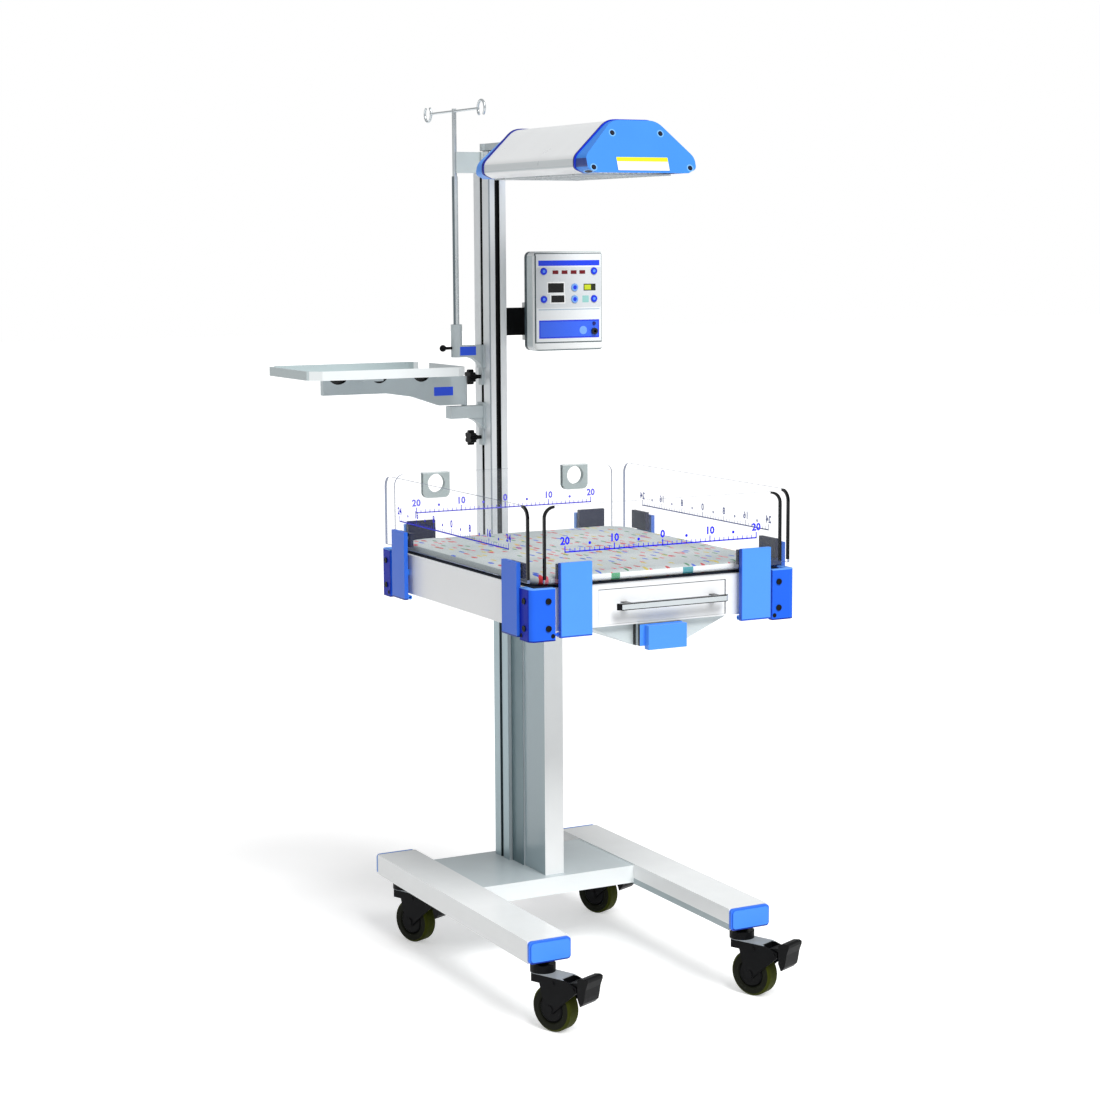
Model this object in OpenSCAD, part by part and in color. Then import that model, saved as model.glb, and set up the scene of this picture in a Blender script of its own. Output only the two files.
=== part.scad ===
// Infant radiant warmer on a wheeled H base
// Origin on the floor below the centre of the bed, X to the right, +Y towards the mast, +Z up

/* [Base] */
// Distance between the two leg centre lines
base_track = 432; // [400:1:480]
// Width of a leg
leg_w = 86; // [70:1:100]
// Height of a leg
leg_h = 42; // [38:1:50]
// Distance of the legs' front ends from the bed's centre
leg_front = 280; // [270:1:300]
// Distance of the legs' rear ends from the bed's centre
leg_rear = 426; // [415:1:460]
// Wall of the leg tube
leg_wall = 3; // [2:0.5:4]
// Thickness of a leg's end cap
leg_cap_t = 10; // [7:1:14]
// Depth of the plug on a leg's end cap
leg_plug_d = 14; // [8:1:18]
// Radius of the corners of a leg's end cap
leg_cap_r = 7; // [4:1:12]
// Front edge of the cross plate behind the bed's centre
plate_front = 98; // [80:1:110]
// Rear edge of the cross plate behind the bed's centre
plate_rear = 335; // [325:1:350]
// Height of the cross plate's skirt
plate_h = 36; // [24:1:38]
// Distance of the cross plate's top below the top of the legs
plate_drop = 3; // [1:0.5:5]
// Sheet thickness of the cross plate
plate_wall = 4; // [3:0.5:6]

/* [Casters] */
// Diameter of a caster wheel
wheel_d = 88; // [76:1:88]
// Width of a caster wheel
wheel_w = 31; // [24:1:31]
// Height from the floor to the underside of a leg
caster_h = 132; // [130:1:140]
// Distance of the wheel axle from the swivel axis
caster_trail = 30; // [24:1:34]
// Direction in which the casters point, measured from +X
caster_heading = -66.4; // [-180:0.1:180]
// Distance of the front casters from the bed's centre
caster_front = 248; // [235:1:250]
// Distance of the rear casters behind the bed's centre
caster_rear = 378; // [360:1:385]
// Thickness of the fork's side plates
fork_t = 3; // [2:0.5:4]
// Diameter of the swivel housing
swivel_d = 48; // [40:1:50]
// Width of a brake pedal
pedal_w = 45; // [42:1:50]

/* [Columns] */
// Width of the front column
column_w = 42; // [36:1:50]
// Depth of the front column
column_d = 88; // [80:1:92]
// Front face of the front column behind the bed's centre
column_front = 117; // [112:1:122]
// Wall of the front column
column_wall = 3; // [2:0.5:5]
// Width of the rear column
rear_w = 66; // [58:1:72]
// Depth of the rear column
rear_d = 64; // [55:1:64]
// Depth of the web between the two columns
web_d = 50; // [44:1:52]
// Width of the web between the two columns
web_w = 50; // [44:1:54]
// Width of the mast
mast_w = 39; // [38:1:44]
// Depth of the mast
mast_d = 69; // [60:1:72]
// Height of the mast's foot above the floor
mast_bottom = 680; // [670:1:690]
// Height of the mast's top above the floor
mast_top = 1620; // [1612:1:1624]
// Opening of the mast's slots
slot_w = 11; // [9:0.5:12]
// Depth of the mast's slots
slot_depth = 10; // [8:0.5:10]

/* [Bed] */
// Width of the bed frame
bed_w = 530; // [520:1:545]
// Length of the bed frame
bed_l = 631; // [625:1:636]
// Height of the bed frame's top above the floor
bed_top = 828; // [824:1:832]
// Height of the bed frame's walls
bed_h = 77; // [75:1:80]
// Wall of the bed frame
bed_wall = 16; // [14:1:18]
// Thickness of the bed frame's floor
bed_floor = 3; // [2:0.5:3.5]
// Thickness of the mattress deck
deck_t = 2; // [1.5:0.5:3]
// Thickness of the mattress at its edge
mattress_t = 16; // [14:0.5:20]
// Rise of the mattress from its edge to its middle
mattress_crown = 3; // [1:0.5:8]
// Radius of the mattress's corners
mattress_r = 50; // [30:1:70]
// How far a corner block stands out from the frame
block_proud = 13; // [12:0.5:14]
// Height of a corner block
block_h = 95; // [92:1:98]

/* [Side panels] */
// Thickness of the clear panels
panel_t = 5; // [4:0.5:5]
// Height of a clear panel
panel_h = 137; // [120:1:180]
// Length of the front and rear panels
panel_end_l = 498; // [480:1:500]
// Length of the left and right panels
panel_side_l = 626; // [600:1:632]
// Radius of the panels' upper corners
panel_r = 22; // [10:1:40]
// Width of an end panel's clamp
clamp_end_w = 64; // [58:1:68]
// Width of a side panel's clamp
clamp_side_w = 60; // [54:1:60]
// Height of a clamp's outer plate
clamp_h = 134; // [125:1:140]
// Diameter of the ports' holes in the rear panel
port_d = 38; // [30:1:42]

/* [Drawer] */
// Width of the drawer's front
drawer_w = 266; // [240:1:270]
// Height of the drawer's front
drawer_front_h = 63; // [56:1:64]
// Length of the drawer's tray
drawer_l = 400; // [320:1:420]
// Height of the drawer's tray
drawer_h = 48; // [36:1:54]
// Wall of the drawer
drawer_wall = 2.5; // [2:0.5:4]
// Length of the drawer's handle
handle_l = 234; // [200:1:240]
// Shift of the drawer's handle to the right
handle_shift = 11; // [0:1:12]

/* [Head] */
// Width of the heater head
head_w = 226; // [216:1:236]
// Width of the head's flat top
head_top_w = 92; // [80:1:110]
// Height of the head's lower edge above the floor
head_bottom = 1560; // [1556:1:1564]
// Height of the head
head_h = 95; // [90:1:100]
// Front end of the heater casing
casing_front = 190; // [180:1:200]
// Rear end of the heater casing behind the bed's centre
casing_rear = 180; // [176:1:184]
// Length of the front cap at its lower edge
front_cap_l = 55; // [48:1:64]
// Angle of the front cap's sloping face
front_cap_angle = 19.7; // [10:0.1:24]
// Length of the rear cap
rear_cap_l = 40; // [36:1:44]
// Wall of the head's casing
head_wall = 2; // [1.5:0.5:3]
// Diameter of the heater tubes
heater_d = 16; // [10:1:18]

/* [Control box] */
// Width of the control box
box_w = 164; // [160:1:168]
// Height of the control box
box_h = 201; // [198:1:206]
// Depth of the control box
box_d = 56; // [50:1:58]
// Radius of the control box's corners
box_r = 12; // [8:1:18]
// Height of the control box's lower edge above the floor
box_bottom = 1217; // [1210:1:1222]
// Left side of the control box right of the centre
box_left = 47; // [46:1:50]
// Diameter of the round keys
key_d = 14; // [12:0.5:15]
// Diameter of the two setting keys
set_key_d = 15; // [12:0.5:16]
// Travel of a key
key_travel = 0.8; // [0.4:0.1:1]

/* [Infusion pole] */
// Distance of the pole from the centre
pole_x = 78; // [74:1:82]
// Diameter of the sliding rod
rod_d = 9; // [8:0.5:9]
// Diameter of the outer tube
tube_d = 12; // [12:0.5:14]
// Height of the sliding rod's top above the floor
rod_top = 1705; // [1690:1:1720]
// Distance between the two bag hooks
hook_span = 252; // [200:1:260]
// Outer diameter of a hook's ring
hook_d = 36; // [30:1:40]
// Diameter of the hooks' wire
hook_wire = 5; // [4:0.5:6]

/* [Tray] */
// Length of the tray
tray_l = 341; // [300:1:350]
// Depth of the tray from front to back
tray_w = 250; // [220:1:256]
// Left end of the tray from the centre
tray_left = 441; // [430:1:450]
// Height of the tray's rim
tray_rim = 18; // [14:1:20]
// Height of the tray's underside above the floor
tray_z = 1172; // [1168:1:1172]
// Cut of the tray's corners
tray_cut = 24; // [16:1:36]
// Left end of the tray's arm from the centre
arm_left = 376; // [360:1:390]
// Thickness of the tray's arm
arm_t = 14; // [12:1:14]

/* [Hidden] */
$fn = 48;
// Clearances and overruns
eps = 0.5;
seat = 0.3;
fit_gap = 0.05;
slide_gap = 0.4;
both = [-1, 1];

// Base
leg_x = base_track / 2;
leg_in = leg_w - 2 * leg_wall;
leg_top = caster_h + leg_h;
tube_front = leg_front - leg_cap_t;
tube_rear = leg_rear - leg_cap_t;
plate_x = leg_x - leg_w / 2;
plate_top = leg_top - plate_drop;
cap_step = 3;
boss_d = 36;

// Casters
wheel_r = wheel_d / 2;
stem_d = 12;
stem_up = 30;
fork_gap = 2;
fork_in = wheel_w / 2 + fork_gap;
fork_out = fork_in + fork_t;
crown_top = 107;
crown_bottom = 90;
crown_back = 12;
crown_front = 58;
swivel_top = 122;
neck_d = 24;
axle_d = 10;
axle_head_d = 16;
axle_head_t = 1.5;
fork_hub_r = 10;
fork_front_a = 26;
fork_rear_a = 18;
fork_back_u = 3;
fork_tip_u = 94;
fork_tip_z = 97;
fork_tip_low_z = 87;
pin_d = 5;
pin_u = 86;
pin_z = 92;
rivet_d = 7;
rivet_u = 39;
rivet_z = 95;
tread_r = 4;
hub_d = 52;
hub_dish = 3;
tongue_w = 2 * (fork_in - slide_gap);
tongue_back = 72;
tongue_low = 86;
tongue_high = 101;
wide_u = 98;
pedal_shape = [
    [98, 78], [98, 113], [104, 117], [116, 119], [122, 117],
    [122, 112], [117, 98], [114, 80], [112, 72], [104, 64]
];

// Columns
column_rear = column_front + column_d;
rear_front = column_rear + web_d;
rear_back = rear_front + rear_d;
rear_wall = 4;
groove_w = 12;
groove_d = 4;
bed_bottom = bed_top - bed_h;
mast_front = 353;
mast_y = mast_front + mast_d / 2;
mast_back = mast_front + mast_d;
mast_core_d = 12;
slot_inner_w = 18;
slot_lip = 3;
foot_w = 52;
foot_top = 745;
foot_t = 12;
foot_screw_d = 10;
foot_screw_h = 3;
foot_screw_z = [700, 728];

// Bed
bed_x = bed_w / 2;
bed_y = bed_l / 2;
in_x = bed_x - bed_wall;
in_y = bed_y - bed_wall;
floor_top = bed_bottom + bed_floor;
front_open_w = drawer_w + 2;
front_open_top = 819;
rail_t = 4;
rail_h = 18;
rail_gap = 1;
block_top = 831;
block_bottom = block_top - block_h;
block_end_leg = 50;
block_side_leg = 42;
block_r = 12;
block_x = bed_x + block_proud;
block_y = bed_y + block_proud;
screw_d = 8;
screw_h = 1;
screw_end_x = 242;
screw_side_y = 305;
screw_low = 759;
screw_high = 808;
hinge_z = 746;
hinge_off = block_proud / 2;
hinge_d = 5;
hinge_reach = 20;
rear_hinge_reach = 36;

// Deck
deck_z = bed_top + seat;
deck_x = 257;
deck_front = 306;
deck_step_y = 285;
deck_back = 297;
deck_narrow_x = in_x - 3;
deck_rib_w = 10;
deck_rib_h = 20;
deck_rib_x = 120;
tilt_y = 290;
tilt_z = 822;
tilt_barrel_d = 10;
tilt_pin_d = 5;
tilt_barrel_in = 150;
tilt_barrel_out = 190;
lug_t = 6;
lug_gap = 1;
mat_z = deck_z + deck_t;
mat_x = 255;
mat_front = 304;
mat_back = 297;
mat_tuck = 3;
mat_roll = 5;
mat_slope = 60;
mat_slice = 1;

// Panels and clamps
panel_z = 840;
panel_in = 5.5;
panel_end_y = bed_y + panel_in;
panel_side_x = bed_x + panel_in;
clamp_t = 8;
clamp_z = 741;
clamp_end_x = 188.5;
clamp_rear_x = 195;
clamp_rear_w = 62;
clamp_side_front = -256.2;
clamp_side_rear = 233.5;
jaw_t = 8;
jaw_z = 845;
jaw_low_h = 27;
jaw_high_h = 37;
jaw_edge = 1;
knuckle_d = 9;
pad_w = 30;
pad_z = 788;
pad_h = 12;
bolt_d = 6;
bolt_z = 862;
bolt_x = 20;
panel_gap = 0.3;
rear_pad_z = 762;
rear_pad_top = panel_z - seat;
port_x = 159;
port_w = 59;
port_h = 52;
port_top = 978;
port_flange = 3;
port_r = 12;
port_lip = 4;
port_drop = 22.5;

// Under the bed
pan_front = 300;
pan_back = 105;
pan_low_z = 708;
pan_x = 150;
pan_low_x = 50;
pan_wall = 2;
grip_w = 80;
grip_shift = -4;
grip_z = 705;
grip_h = 44;
grip_y = 340;
grip_t = 15;
grip_step = 5;
grip_cut = 6;
neck_left = 54;
neck_right = 34;
neck_h = 39.5;
neck_z = 711;
stem_w = 60;
stem_h = 24;
stem_z = 718;
stem_back = 284;
stem_flange = 6;
stem_stop_t = 3;

// Drawer
drawer_x = drawer_w / 2;
drawer_front_y = bed_y - 1;
drawer_front_t = 12;
drawer_low = floor_top + slide_gap;
drawer_tray_x = drawer_x - 3;
handle_y = 342;
handle_t = 9;
handle_z = 788;
handle_h = 12;
handle_taper = 8;
post_w = 12;
post_in = 24;

// Head
head_side = 29;
head_chamfer = 18;
head_chamfer_h = 8;
bend_steps = 6;
head_bends = [0, 7, 9, 16, 16, 9, 7, 0];
lip_shift = 3;
lip_rise = 0.6;
function bend_at(p, q, s, t) = [
    for (i = [0 : bend_steps])
        let (u = i / bend_steps)
        (1 - u) * (1 - u) * (q + t * (p - q) / norm(p - q))
        + 2 * u * (1 - u) * q
        + u * u * (q + t * (s - q) / norm(s - q))
];
function bent(pts, t) = [
    for (i = [0 : len(pts) - 1])
        each t[i] == 0 ? [pts[i]] : bend_at(pts[i - 1], pts[i], pts[i + 1], t[i])
];
function head_shape(g) = bent([
    [-head_w / 2 + head_chamfer, 0], [-head_w / 2 - g, head_chamfer_h],
    [-head_w / 2 - g, head_side + g / 2], [-head_top_w / 2 - g / 2, head_h + g],
    [head_top_w / 2 + g / 2, head_h + g], [head_w / 2 + g, head_side + g / 2],
    [head_w / 2 + g, head_chamfer_h], [head_w / 2 - head_chamfer, 0]
], head_bends);
cap_lip = 2;
cap_lip_l = 6;
cap_wall = 4;
head_screw_d = 8;
head_screw_h = 1;
head_screw_x = 50;
head_screw_z = 76;
low_screw_x = 100;
low_screw_z = 10;
label_w = 108;
label_h = 26;
label_x = 2;
label_t = 0.8;
reflector_w = 168;
reflector_top_w = 70;
reflector_h = 62;
reflector_t = 2;
reflector_z = 1562;
reflector_front = 184;
reflector_back = casing_rear - 6;
lip_slope = (head_chamfer + (lip_shift - 1) * head_wall) / (head_chamfer_h + lip_rise * head_wall + eps);
reflector_rim = head_w / 2 - head_chamfer - lip_shift * head_wall
    + (reflector_z - head_bottom + eps) * lip_slope;
heater_x = 34;
heater_z = 1596;
heater_end_d = 20;
heater_end_l = 14;
grille_w = 186;
grille_t = 3;
grille_z = 1557;
grille_bar = 3;
grille_bars = 15;
neck_tube_w = 30;
neck_tube_h = 14;
neck_tube_z = mast_top + 2;
neck_front = casing_rear - eps;
neck_plate_t = neck_front - reflector_back;
neck_hang_l = 20;
neck_pad_w = 52;
neck_hub_d = 38;
neck_pin_l = 60;

// Control box
box_right = box_left + box_w;
box_top = box_bottom + box_h;
box_mid_x = (box_left + box_right) / 2;
box_mid_z = (box_bottom + box_top) / 2;
box_front = 283;
box_back = box_front + box_d;
box_wall = 3;
box_bevel = 7;
box_rear_cut = 9;
face_left = 52;
face_right = 202;
face_low = 1235;
face_high = 1413;
face_t = 3;
face_y = 282;
face_pocket = 4;
key_gap = 0.3;
key_flange = 2;
key_flange_t = 1.4;
key_out = 2;
key_left = 69;
key_right = 185;
key_low = 1321.5;
key_high = 1378;
set_key_x = 140;
set_key_low = 1321;
set_key_high = 1345;
lamp_x = [96, 117, 138, 158];
lamp_z = 1376;
lamp_w = 13;
lamp_h = 7;
window_t = 0.6;
skin_window = [79, 1335, 115, 1354];
set_window = [86, 1315, 116, 1329];
jack_x = 185;
jack_z = 1255;
jack_d = 13;
jack_out = 5;
jack_hole_d = 6;
small_jack_z = 1271;
small_jack_d = 7;
small_jack_out = 2;
arm_x = 75;
arm_y = 374;
arm_z = 1247;
arm_h = 56;
arm_deep = 20;
arm_plate_t = 6;
barrel_d = 16;
barrel_pin_d = 8;
ear_h = 10;
ear_gap = 0.5;
rear_vent_w = 60;
rear_vent_h = 3;
rear_vents = 6;
rear_vent_pitch = 8;

// Infusion pole
pole_arm_z = 1204;
pole_arm_h = 24;
pole_arm_d = 20;
bar_t = 5.5;
bar_d = 30;
bar_gap = 0.2;
collar_d = 23;
collar_top = 1271;
tube_top = 1570;
rod_low = 1240;
hook_start = 40;
hook_sweep = 280;
guide_z = 1577;
guide_h = 42;
guide_d = 17;
pole_bar_low = 1146;
pole_root_z = 1181;
pole_root_x = 60;
strap_d = 16;
knob_d = 31;
knob_lobe_d = 9;
knob_lobes = 6;
knob_t = 12;
knob_z = 1163;
knob_out = 42;
low_knob_z = 1038;
hub_knob_d = 16;
hub_knob_l = 8;
screw_shaft_d = 8;
knob_end_gap = 2;
ball_x = 109;
ball_z = 1223;
ball_d = 14;
ball_stem_d = 6;

// Tray
pivot_x = 62;
pivot_pin_d = 7;
pivot_d = 12;
tray_bar_low = 1022;
tray_bar_high = 1110;
tray_arm_z = 1079;
tray_arm_h = 25;
tray_root_z = 1057;
tray_root_x = 63;
tray_arm_reach = 98;
tray_arm_deep = 26;
sleeve_low = 1105;
sleeve_top = 1165;
beam_top = 1166;
beam_low = 1136;
beam_sag = 9;
tray_cut_a = 39;
beam_root_low = 1107;
beam_curve_x = 240;
beam_root_x = 121;
notch_x = [343, 254, 161];
notch_w = [37, 34, 34];
notch_d = 9;
function notch_radius(w) = (w * w / 4 + notch_d * notch_d) / (2 * notch_d);
tray_floor_t = 3;
tray_wall = 3;
tray_front = 280;
tray_gap_x = 8;
tray_gap_y = 60;

// Shared shapes

// Box between two opposite corners
module span(a, b) {
    translate(a)
    cube(b - a);
}

// Rectangle with round corners, centred
module round_rect(w, h, r) {
    square([w - 2 * r, h], center = true);
    square([w, h - 2 * r], center = true);
    for (i = both, j = both)
        translate([i * (w / 2 - r), j * (h / 2 - r)])
        circle(r = r);
}

// Cylinder along X from a start point
module rod_x(p, d, l) {
    translate(p)
    rotate([0, 90, 0])
    cylinder(d = d, h = l);
}

// Cylinder along Y from a start point
module rod_y(p, d, l) {
    translate(p)
    rotate([-90, 0, 0])
    cylinder(d = d, h = l);
}

// Cylinder along Z from a start point
module rod_z(p, d, l) {
    translate(p)
    cylinder(d = d, h = l);
}

// Drawing in X and Z, pushed out from one Y to another
module along_y(y0, y1) {
    translate([0, y1, 0])
    rotate([90, 0, 0])
    linear_extrude(height = y1 - y0)
    children();
}

// Drawing in Y and Z, pushed out from one X to another
module along_x(x0, x1) {
    translate([x0, 0, 0])
    rotate([90, 0, 90])
    linear_extrude(height = x1 - x0)
    children();
}

// Caster position, X along its heading
module at_caster(side, y) {
    translate([side * leg_x, y, 0])
    rotate([0, 0, caster_heading])
    children();
}

// Base

module base_legs() {
    color("white")
    for (s = both)
        translate([s * leg_x, 0, 0])
        difference() {
            union() {
                difference() {
                    span([-leg_w / 2, -tube_front, caster_h], [leg_w / 2, tube_rear, leg_top]);
                    span(
                        [-leg_in / 2, -tube_front - eps, caster_h + leg_wall],
                        [leg_in / 2, tube_rear + eps, leg_top - leg_wall]
                    );
                }
                for (y = [-caster_front, caster_rear])
                    rod_z([0, y, caster_h], boss_d, leg_h);
            }
            for (y = [-caster_front, caster_rear])
                rod_z([0, y, caster_h - eps], stem_d + 2 * fit_gap, stem_up + eps + seat);
        }
}

module leg_cap() {
    along_y(0, leg_cap_t - cap_step)
    round_rect(leg_w, leg_h, leg_cap_r);
    along_y(-cap_step, 0)
    round_rect(leg_w - 2 * cap_step, leg_h - 2 * cap_step, leg_cap_r);
    difference() {
        along_y(leg_cap_t - cap_step, leg_cap_t - cap_step + leg_plug_d)
        square([leg_in - 2 * seat, leg_h - 2 * leg_wall - 2 * seat], center = true);
        translate([0, leg_front - cap_step - caster_front, 0])
        cylinder(d = boss_d + 2 * seat, h = leg_h, center = true);
    }
}

module leg_end_caps() {
    color("royalblue")
    for (s = both) {
        translate([s * leg_x, -leg_front + cap_step, caster_h + leg_h / 2])
        leg_cap();
        translate([s * leg_x, leg_rear - cap_step, caster_h + leg_h / 2])
        rotate([0, 0, 180])
        leg_cap();
    }
}

module base_plate() {
    color("gainsboro")
    difference() {
        span([-plate_x, plate_front, plate_top - plate_h], [plate_x, plate_rear, plate_top]);
        span(
            [-plate_x + plate_wall, plate_front + plate_wall, plate_top - plate_h - eps],
            [plate_x - plate_wall, plate_rear - plate_wall, plate_top - plate_wall]
        );
    }
}

// Casters

module fork_side() {
    translate([fork_back_u, crown_bottom])
    square([fork_tip_u - fork_back_u, crown_top - crown_bottom - (crown_top - fork_tip_z)]);
    polygon([
        [fork_back_u, crown_top], [crown_front, crown_top], [fork_tip_u, fork_tip_z],
        [fork_tip_u, fork_tip_low_z],
        [caster_trail + fork_hub_r * cos(fork_front_a), wheel_r - fork_hub_r * sin(fork_front_a)],
        [caster_trail - fork_hub_r * cos(fork_rear_a), wheel_r - fork_hub_r * sin(fork_rear_a)]
    ]);
    translate([caster_trail, wheel_r])
    circle(r = fork_hub_r);
}

module caster_fork() {
    for (s = both)
        translate([0, s * (fork_in + fork_t / 2) - fork_t / 2, 0])
        along_y(0, fork_t)
        fork_side();
    span([-crown_back, -fork_out, crown_bottom], [crown_front, fork_out, crown_top]);
    rod_z([0, 0, crown_top - eps], swivel_d, swivel_top - crown_top + eps);
    rod_z([0, 0, swivel_top - eps], neck_d, caster_h - seat - swivel_top + eps);
    rod_z([0, 0, swivel_top - eps], stem_d, caster_h + stem_up - swivel_top + eps);
    rod_y([caster_trail, -fork_out, wheel_r], axle_d, 2 * fork_out);
    for (s = both) {
        translate([0, s * (fork_out + axle_head_t / 2) - axle_head_t / 2, 0])
        rod_y([caster_trail, 0, wheel_r], axle_head_d, axle_head_t);
        translate([0, s * (fork_out + axle_head_t / 2) - axle_head_t / 2, 0])
        rod_y([rivet_u, 0, rivet_z], rivet_d, axle_head_t);
        translate([0, s * (fork_out + axle_head_t / 2) - axle_head_t / 2, 0])
        rod_y([pin_u, 0, pin_z], rivet_d, axle_head_t);
    }
    rod_y([pin_u, -fork_out, pin_z], pin_d, 2 * fork_out);
}

module caster_wheel() {
    translate([caster_trail, 0, wheel_r])
    rotate([-90, 0, 0])
    rotate_extrude($fn = 72)
    polygon([
        [axle_d / 2 + fit_gap, -wheel_w / 2], [hub_d / 2 - hub_dish, -wheel_w / 2],
        [hub_d / 2, -wheel_w / 2 + hub_dish], [hub_d / 2 + hub_dish, -wheel_w / 2],
        [wheel_r - tread_r, -wheel_w / 2],
        [wheel_r, -wheel_w / 2 + tread_r], [wheel_r, wheel_w / 2 - tread_r],
        [wheel_r - tread_r, wheel_w / 2], [hub_d / 2 + hub_dish, wheel_w / 2],
        [hub_d / 2, wheel_w / 2 - hub_dish], [hub_d / 2 - hub_dish, wheel_w / 2],
        [axle_d / 2 + fit_gap, wheel_w / 2]
    ]);
}

module brake_pedal() {
    difference() {
        union() {
            along_y(-pedal_w / 2, pedal_w / 2)
            polygon(pedal_shape);
            along_y(-tongue_w / 2, tongue_w / 2)
            polygon([
                [tongue_back, tongue_low], [tongue_back, tongue_high],
                [wide_u + eps, tongue_high + 2 * hub_dish], [wide_u + eps, tongue_low]
            ]);
        }
        rod_y([pin_u, -pedal_w, pin_z], pin_d + 2 * fit_gap, 2 * pedal_w);
    }
}

module caster_fork_fl() {
    color("dimgray")
    at_caster(-1, -caster_front)
    caster_fork();
}

module caster_fork_fr() {
    color("dimgray")
    at_caster(1, -caster_front)
    caster_fork();
}

module caster_fork_rl() {
    color("dimgray")
    at_caster(-1, caster_rear)
    caster_fork();
}

module caster_fork_rr() {
    color("dimgray")
    at_caster(1, caster_rear)
    caster_fork();
}

module caster_wheel_fl() {
    color("darkolivegreen")
    at_caster(-1, -caster_front)
    caster_wheel();
}

module caster_wheel_fr() {
    color("darkolivegreen")
    at_caster(1, -caster_front)
    caster_wheel();
}

module caster_wheel_rl() {
    color("darkolivegreen")
    at_caster(-1, caster_rear)
    caster_wheel();
}

module caster_wheel_rr() {
    color("darkolivegreen")
    at_caster(1, caster_rear)
    caster_wheel();
}

module brake_pedal_fl() {
    color("black")
    at_caster(-1, -caster_front)
    brake_pedal();
}

module brake_pedal_fr() {
    color("black")
    at_caster(1, -caster_front)
    brake_pedal();
}

module brake_pedal_rl() {
    color("black")
    at_caster(-1, caster_rear)
    brake_pedal();
}

module brake_pedal_rr() {
    color("black")
    at_caster(1, caster_rear)
    brake_pedal();
}

// Columns

module rear_column() {
    color("silver")
    difference() {
        union() {
            span([-rear_w / 2, rear_front, plate_top], [rear_w / 2, rear_back, bed_bottom]);
            span([-web_w / 2, column_rear, plate_top], [web_w / 2, rear_front + eps, bed_bottom]);
        }
        span(
            [-rear_w / 2 + 2 * rear_wall + groove_d, rear_front + rear_wall, plate_top - eps],
            [rear_w / 2 - 2 * rear_wall - groove_d, rear_back - rear_wall, bed_bottom + eps]
        );
        for (s = both)
            translate([s * rear_w / 2, (rear_front + rear_back) / 2, (plate_top + bed_bottom) / 2])
            cube([2 * groove_d, groove_w, bed_bottom - plate_top + 2 * eps], center = true);
    }
}

module bed_column() {
    color("white")
    difference() {
        span([-column_w / 2, column_front, plate_top], [column_w / 2, column_rear, bed_bottom]);
        span(
            [-column_w / 2 + column_wall, column_front + column_wall, plate_top - eps],
            [column_w / 2 - column_wall, column_rear - column_wall, bed_bottom + eps]
        );
    }
}

module mast_foot() {
    color("gray") {
        span([-foot_w / 2, rear_back, mast_bottom - foot_t], [foot_w / 2, mast_front, foot_top]);
        span(
            [-foot_w / 2, mast_front - eps, mast_bottom - foot_t],
            [foot_w / 2, mast_back, mast_bottom]
        );
        for (s = both)
            span(
                [s * (mast_w + foot_w) / 4 - (foot_w - mast_w) / 4, mast_front - eps, mast_bottom - eps],
                [s * (mast_w + foot_w) / 4 + (foot_w - mast_w) / 4, mast_back, foot_top]
            );
        for (s = both, z = foot_screw_z)
            translate([s * (foot_w + foot_screw_h) / 2 - foot_screw_h / 2, 0, 0])
            rod_x([0, mast_y, z], foot_screw_d, foot_screw_h);
    }
}

module mast_profile() {
    difference() {
        square([mast_w, mast_d], center = true);
        circle(d = mast_core_d + 2 * fit_gap);
        for (s = both) {
            translate([s * mast_w / 2, 0])
            square([2 * slot_depth, slot_w], center = true);
            translate([s * (mast_w / 2 - slot_depth / 2 - slot_lip / 2), 0])
            square([slot_depth - slot_lip, slot_inner_w], center = true);
            translate([0, s * mast_d / 2])
            square([slot_w, 2 * slot_depth], center = true);
            translate([0, s * (mast_d / 2 - slot_depth / 2 - slot_lip / 2)])
            square([slot_inner_w, slot_depth - slot_lip], center = true);
        }
    }
}

module mast() {
    color("silver")
    translate([0, mast_y, mast_bottom])
    linear_extrude(height = mast_top - mast_bottom)
    mast_profile();
}

// Bed

module bed_frame() {
    color("white") {
        difference() {
            span([-bed_x, -bed_y, bed_bottom], [bed_x, bed_y, bed_top]);
            span([-in_x, -in_y, floor_top], [in_x, in_y, bed_top + eps]);
            span(
                [-front_open_w / 2, -bed_y - eps, floor_top],
                [front_open_w / 2, -in_y + eps, front_open_top]
            );
        }
        for (s = both)
            translate([s * (drawer_x + rail_gap + rail_t / 2), 0, 0])
            span([-rail_t / 2, -in_y - eps, floor_top - eps], [rail_t / 2, pan_back, floor_top + rail_h]);
        for (s = both, x = [tilt_barrel_in - lug_t / 2 - lug_gap, tilt_barrel_out + lug_t / 2 + lug_gap])
            translate([s * x, 0, 0]) {
                span(
                    [-lug_t / 2, tilt_y, tilt_z - tilt_barrel_d],
                    [lug_t / 2, in_y + eps, tilt_z + tilt_barrel_d / 2]
                );
                rod_x([-lug_t / 2, tilt_y, tilt_z], tilt_barrel_d, lug_t);
            }
        for (s = both)
            translate([s * (tilt_barrel_in + tilt_barrel_out) / 2, 0, 0])
            rod_x(
                [-(tilt_barrel_out - tilt_barrel_in) / 2 - lug_gap - eps, tilt_y, tilt_z],
                tilt_pin_d,
                tilt_barrel_out - tilt_barrel_in + 2 * lug_gap + 2 * eps
            );
    }
}

module corner_plan() {
    difference() {
        union() {
            translate([block_x - block_end_leg, bed_y])
            square([block_end_leg - block_r, block_proud]);
            translate([bed_x, block_y - block_side_leg])
            square([block_proud, block_side_leg - block_r]);
            translate([block_x - block_r, block_y - block_r])
            circle(r = block_r);
        }
        translate([0, 0])
        square([bed_x, bed_y]);
    }
}

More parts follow.
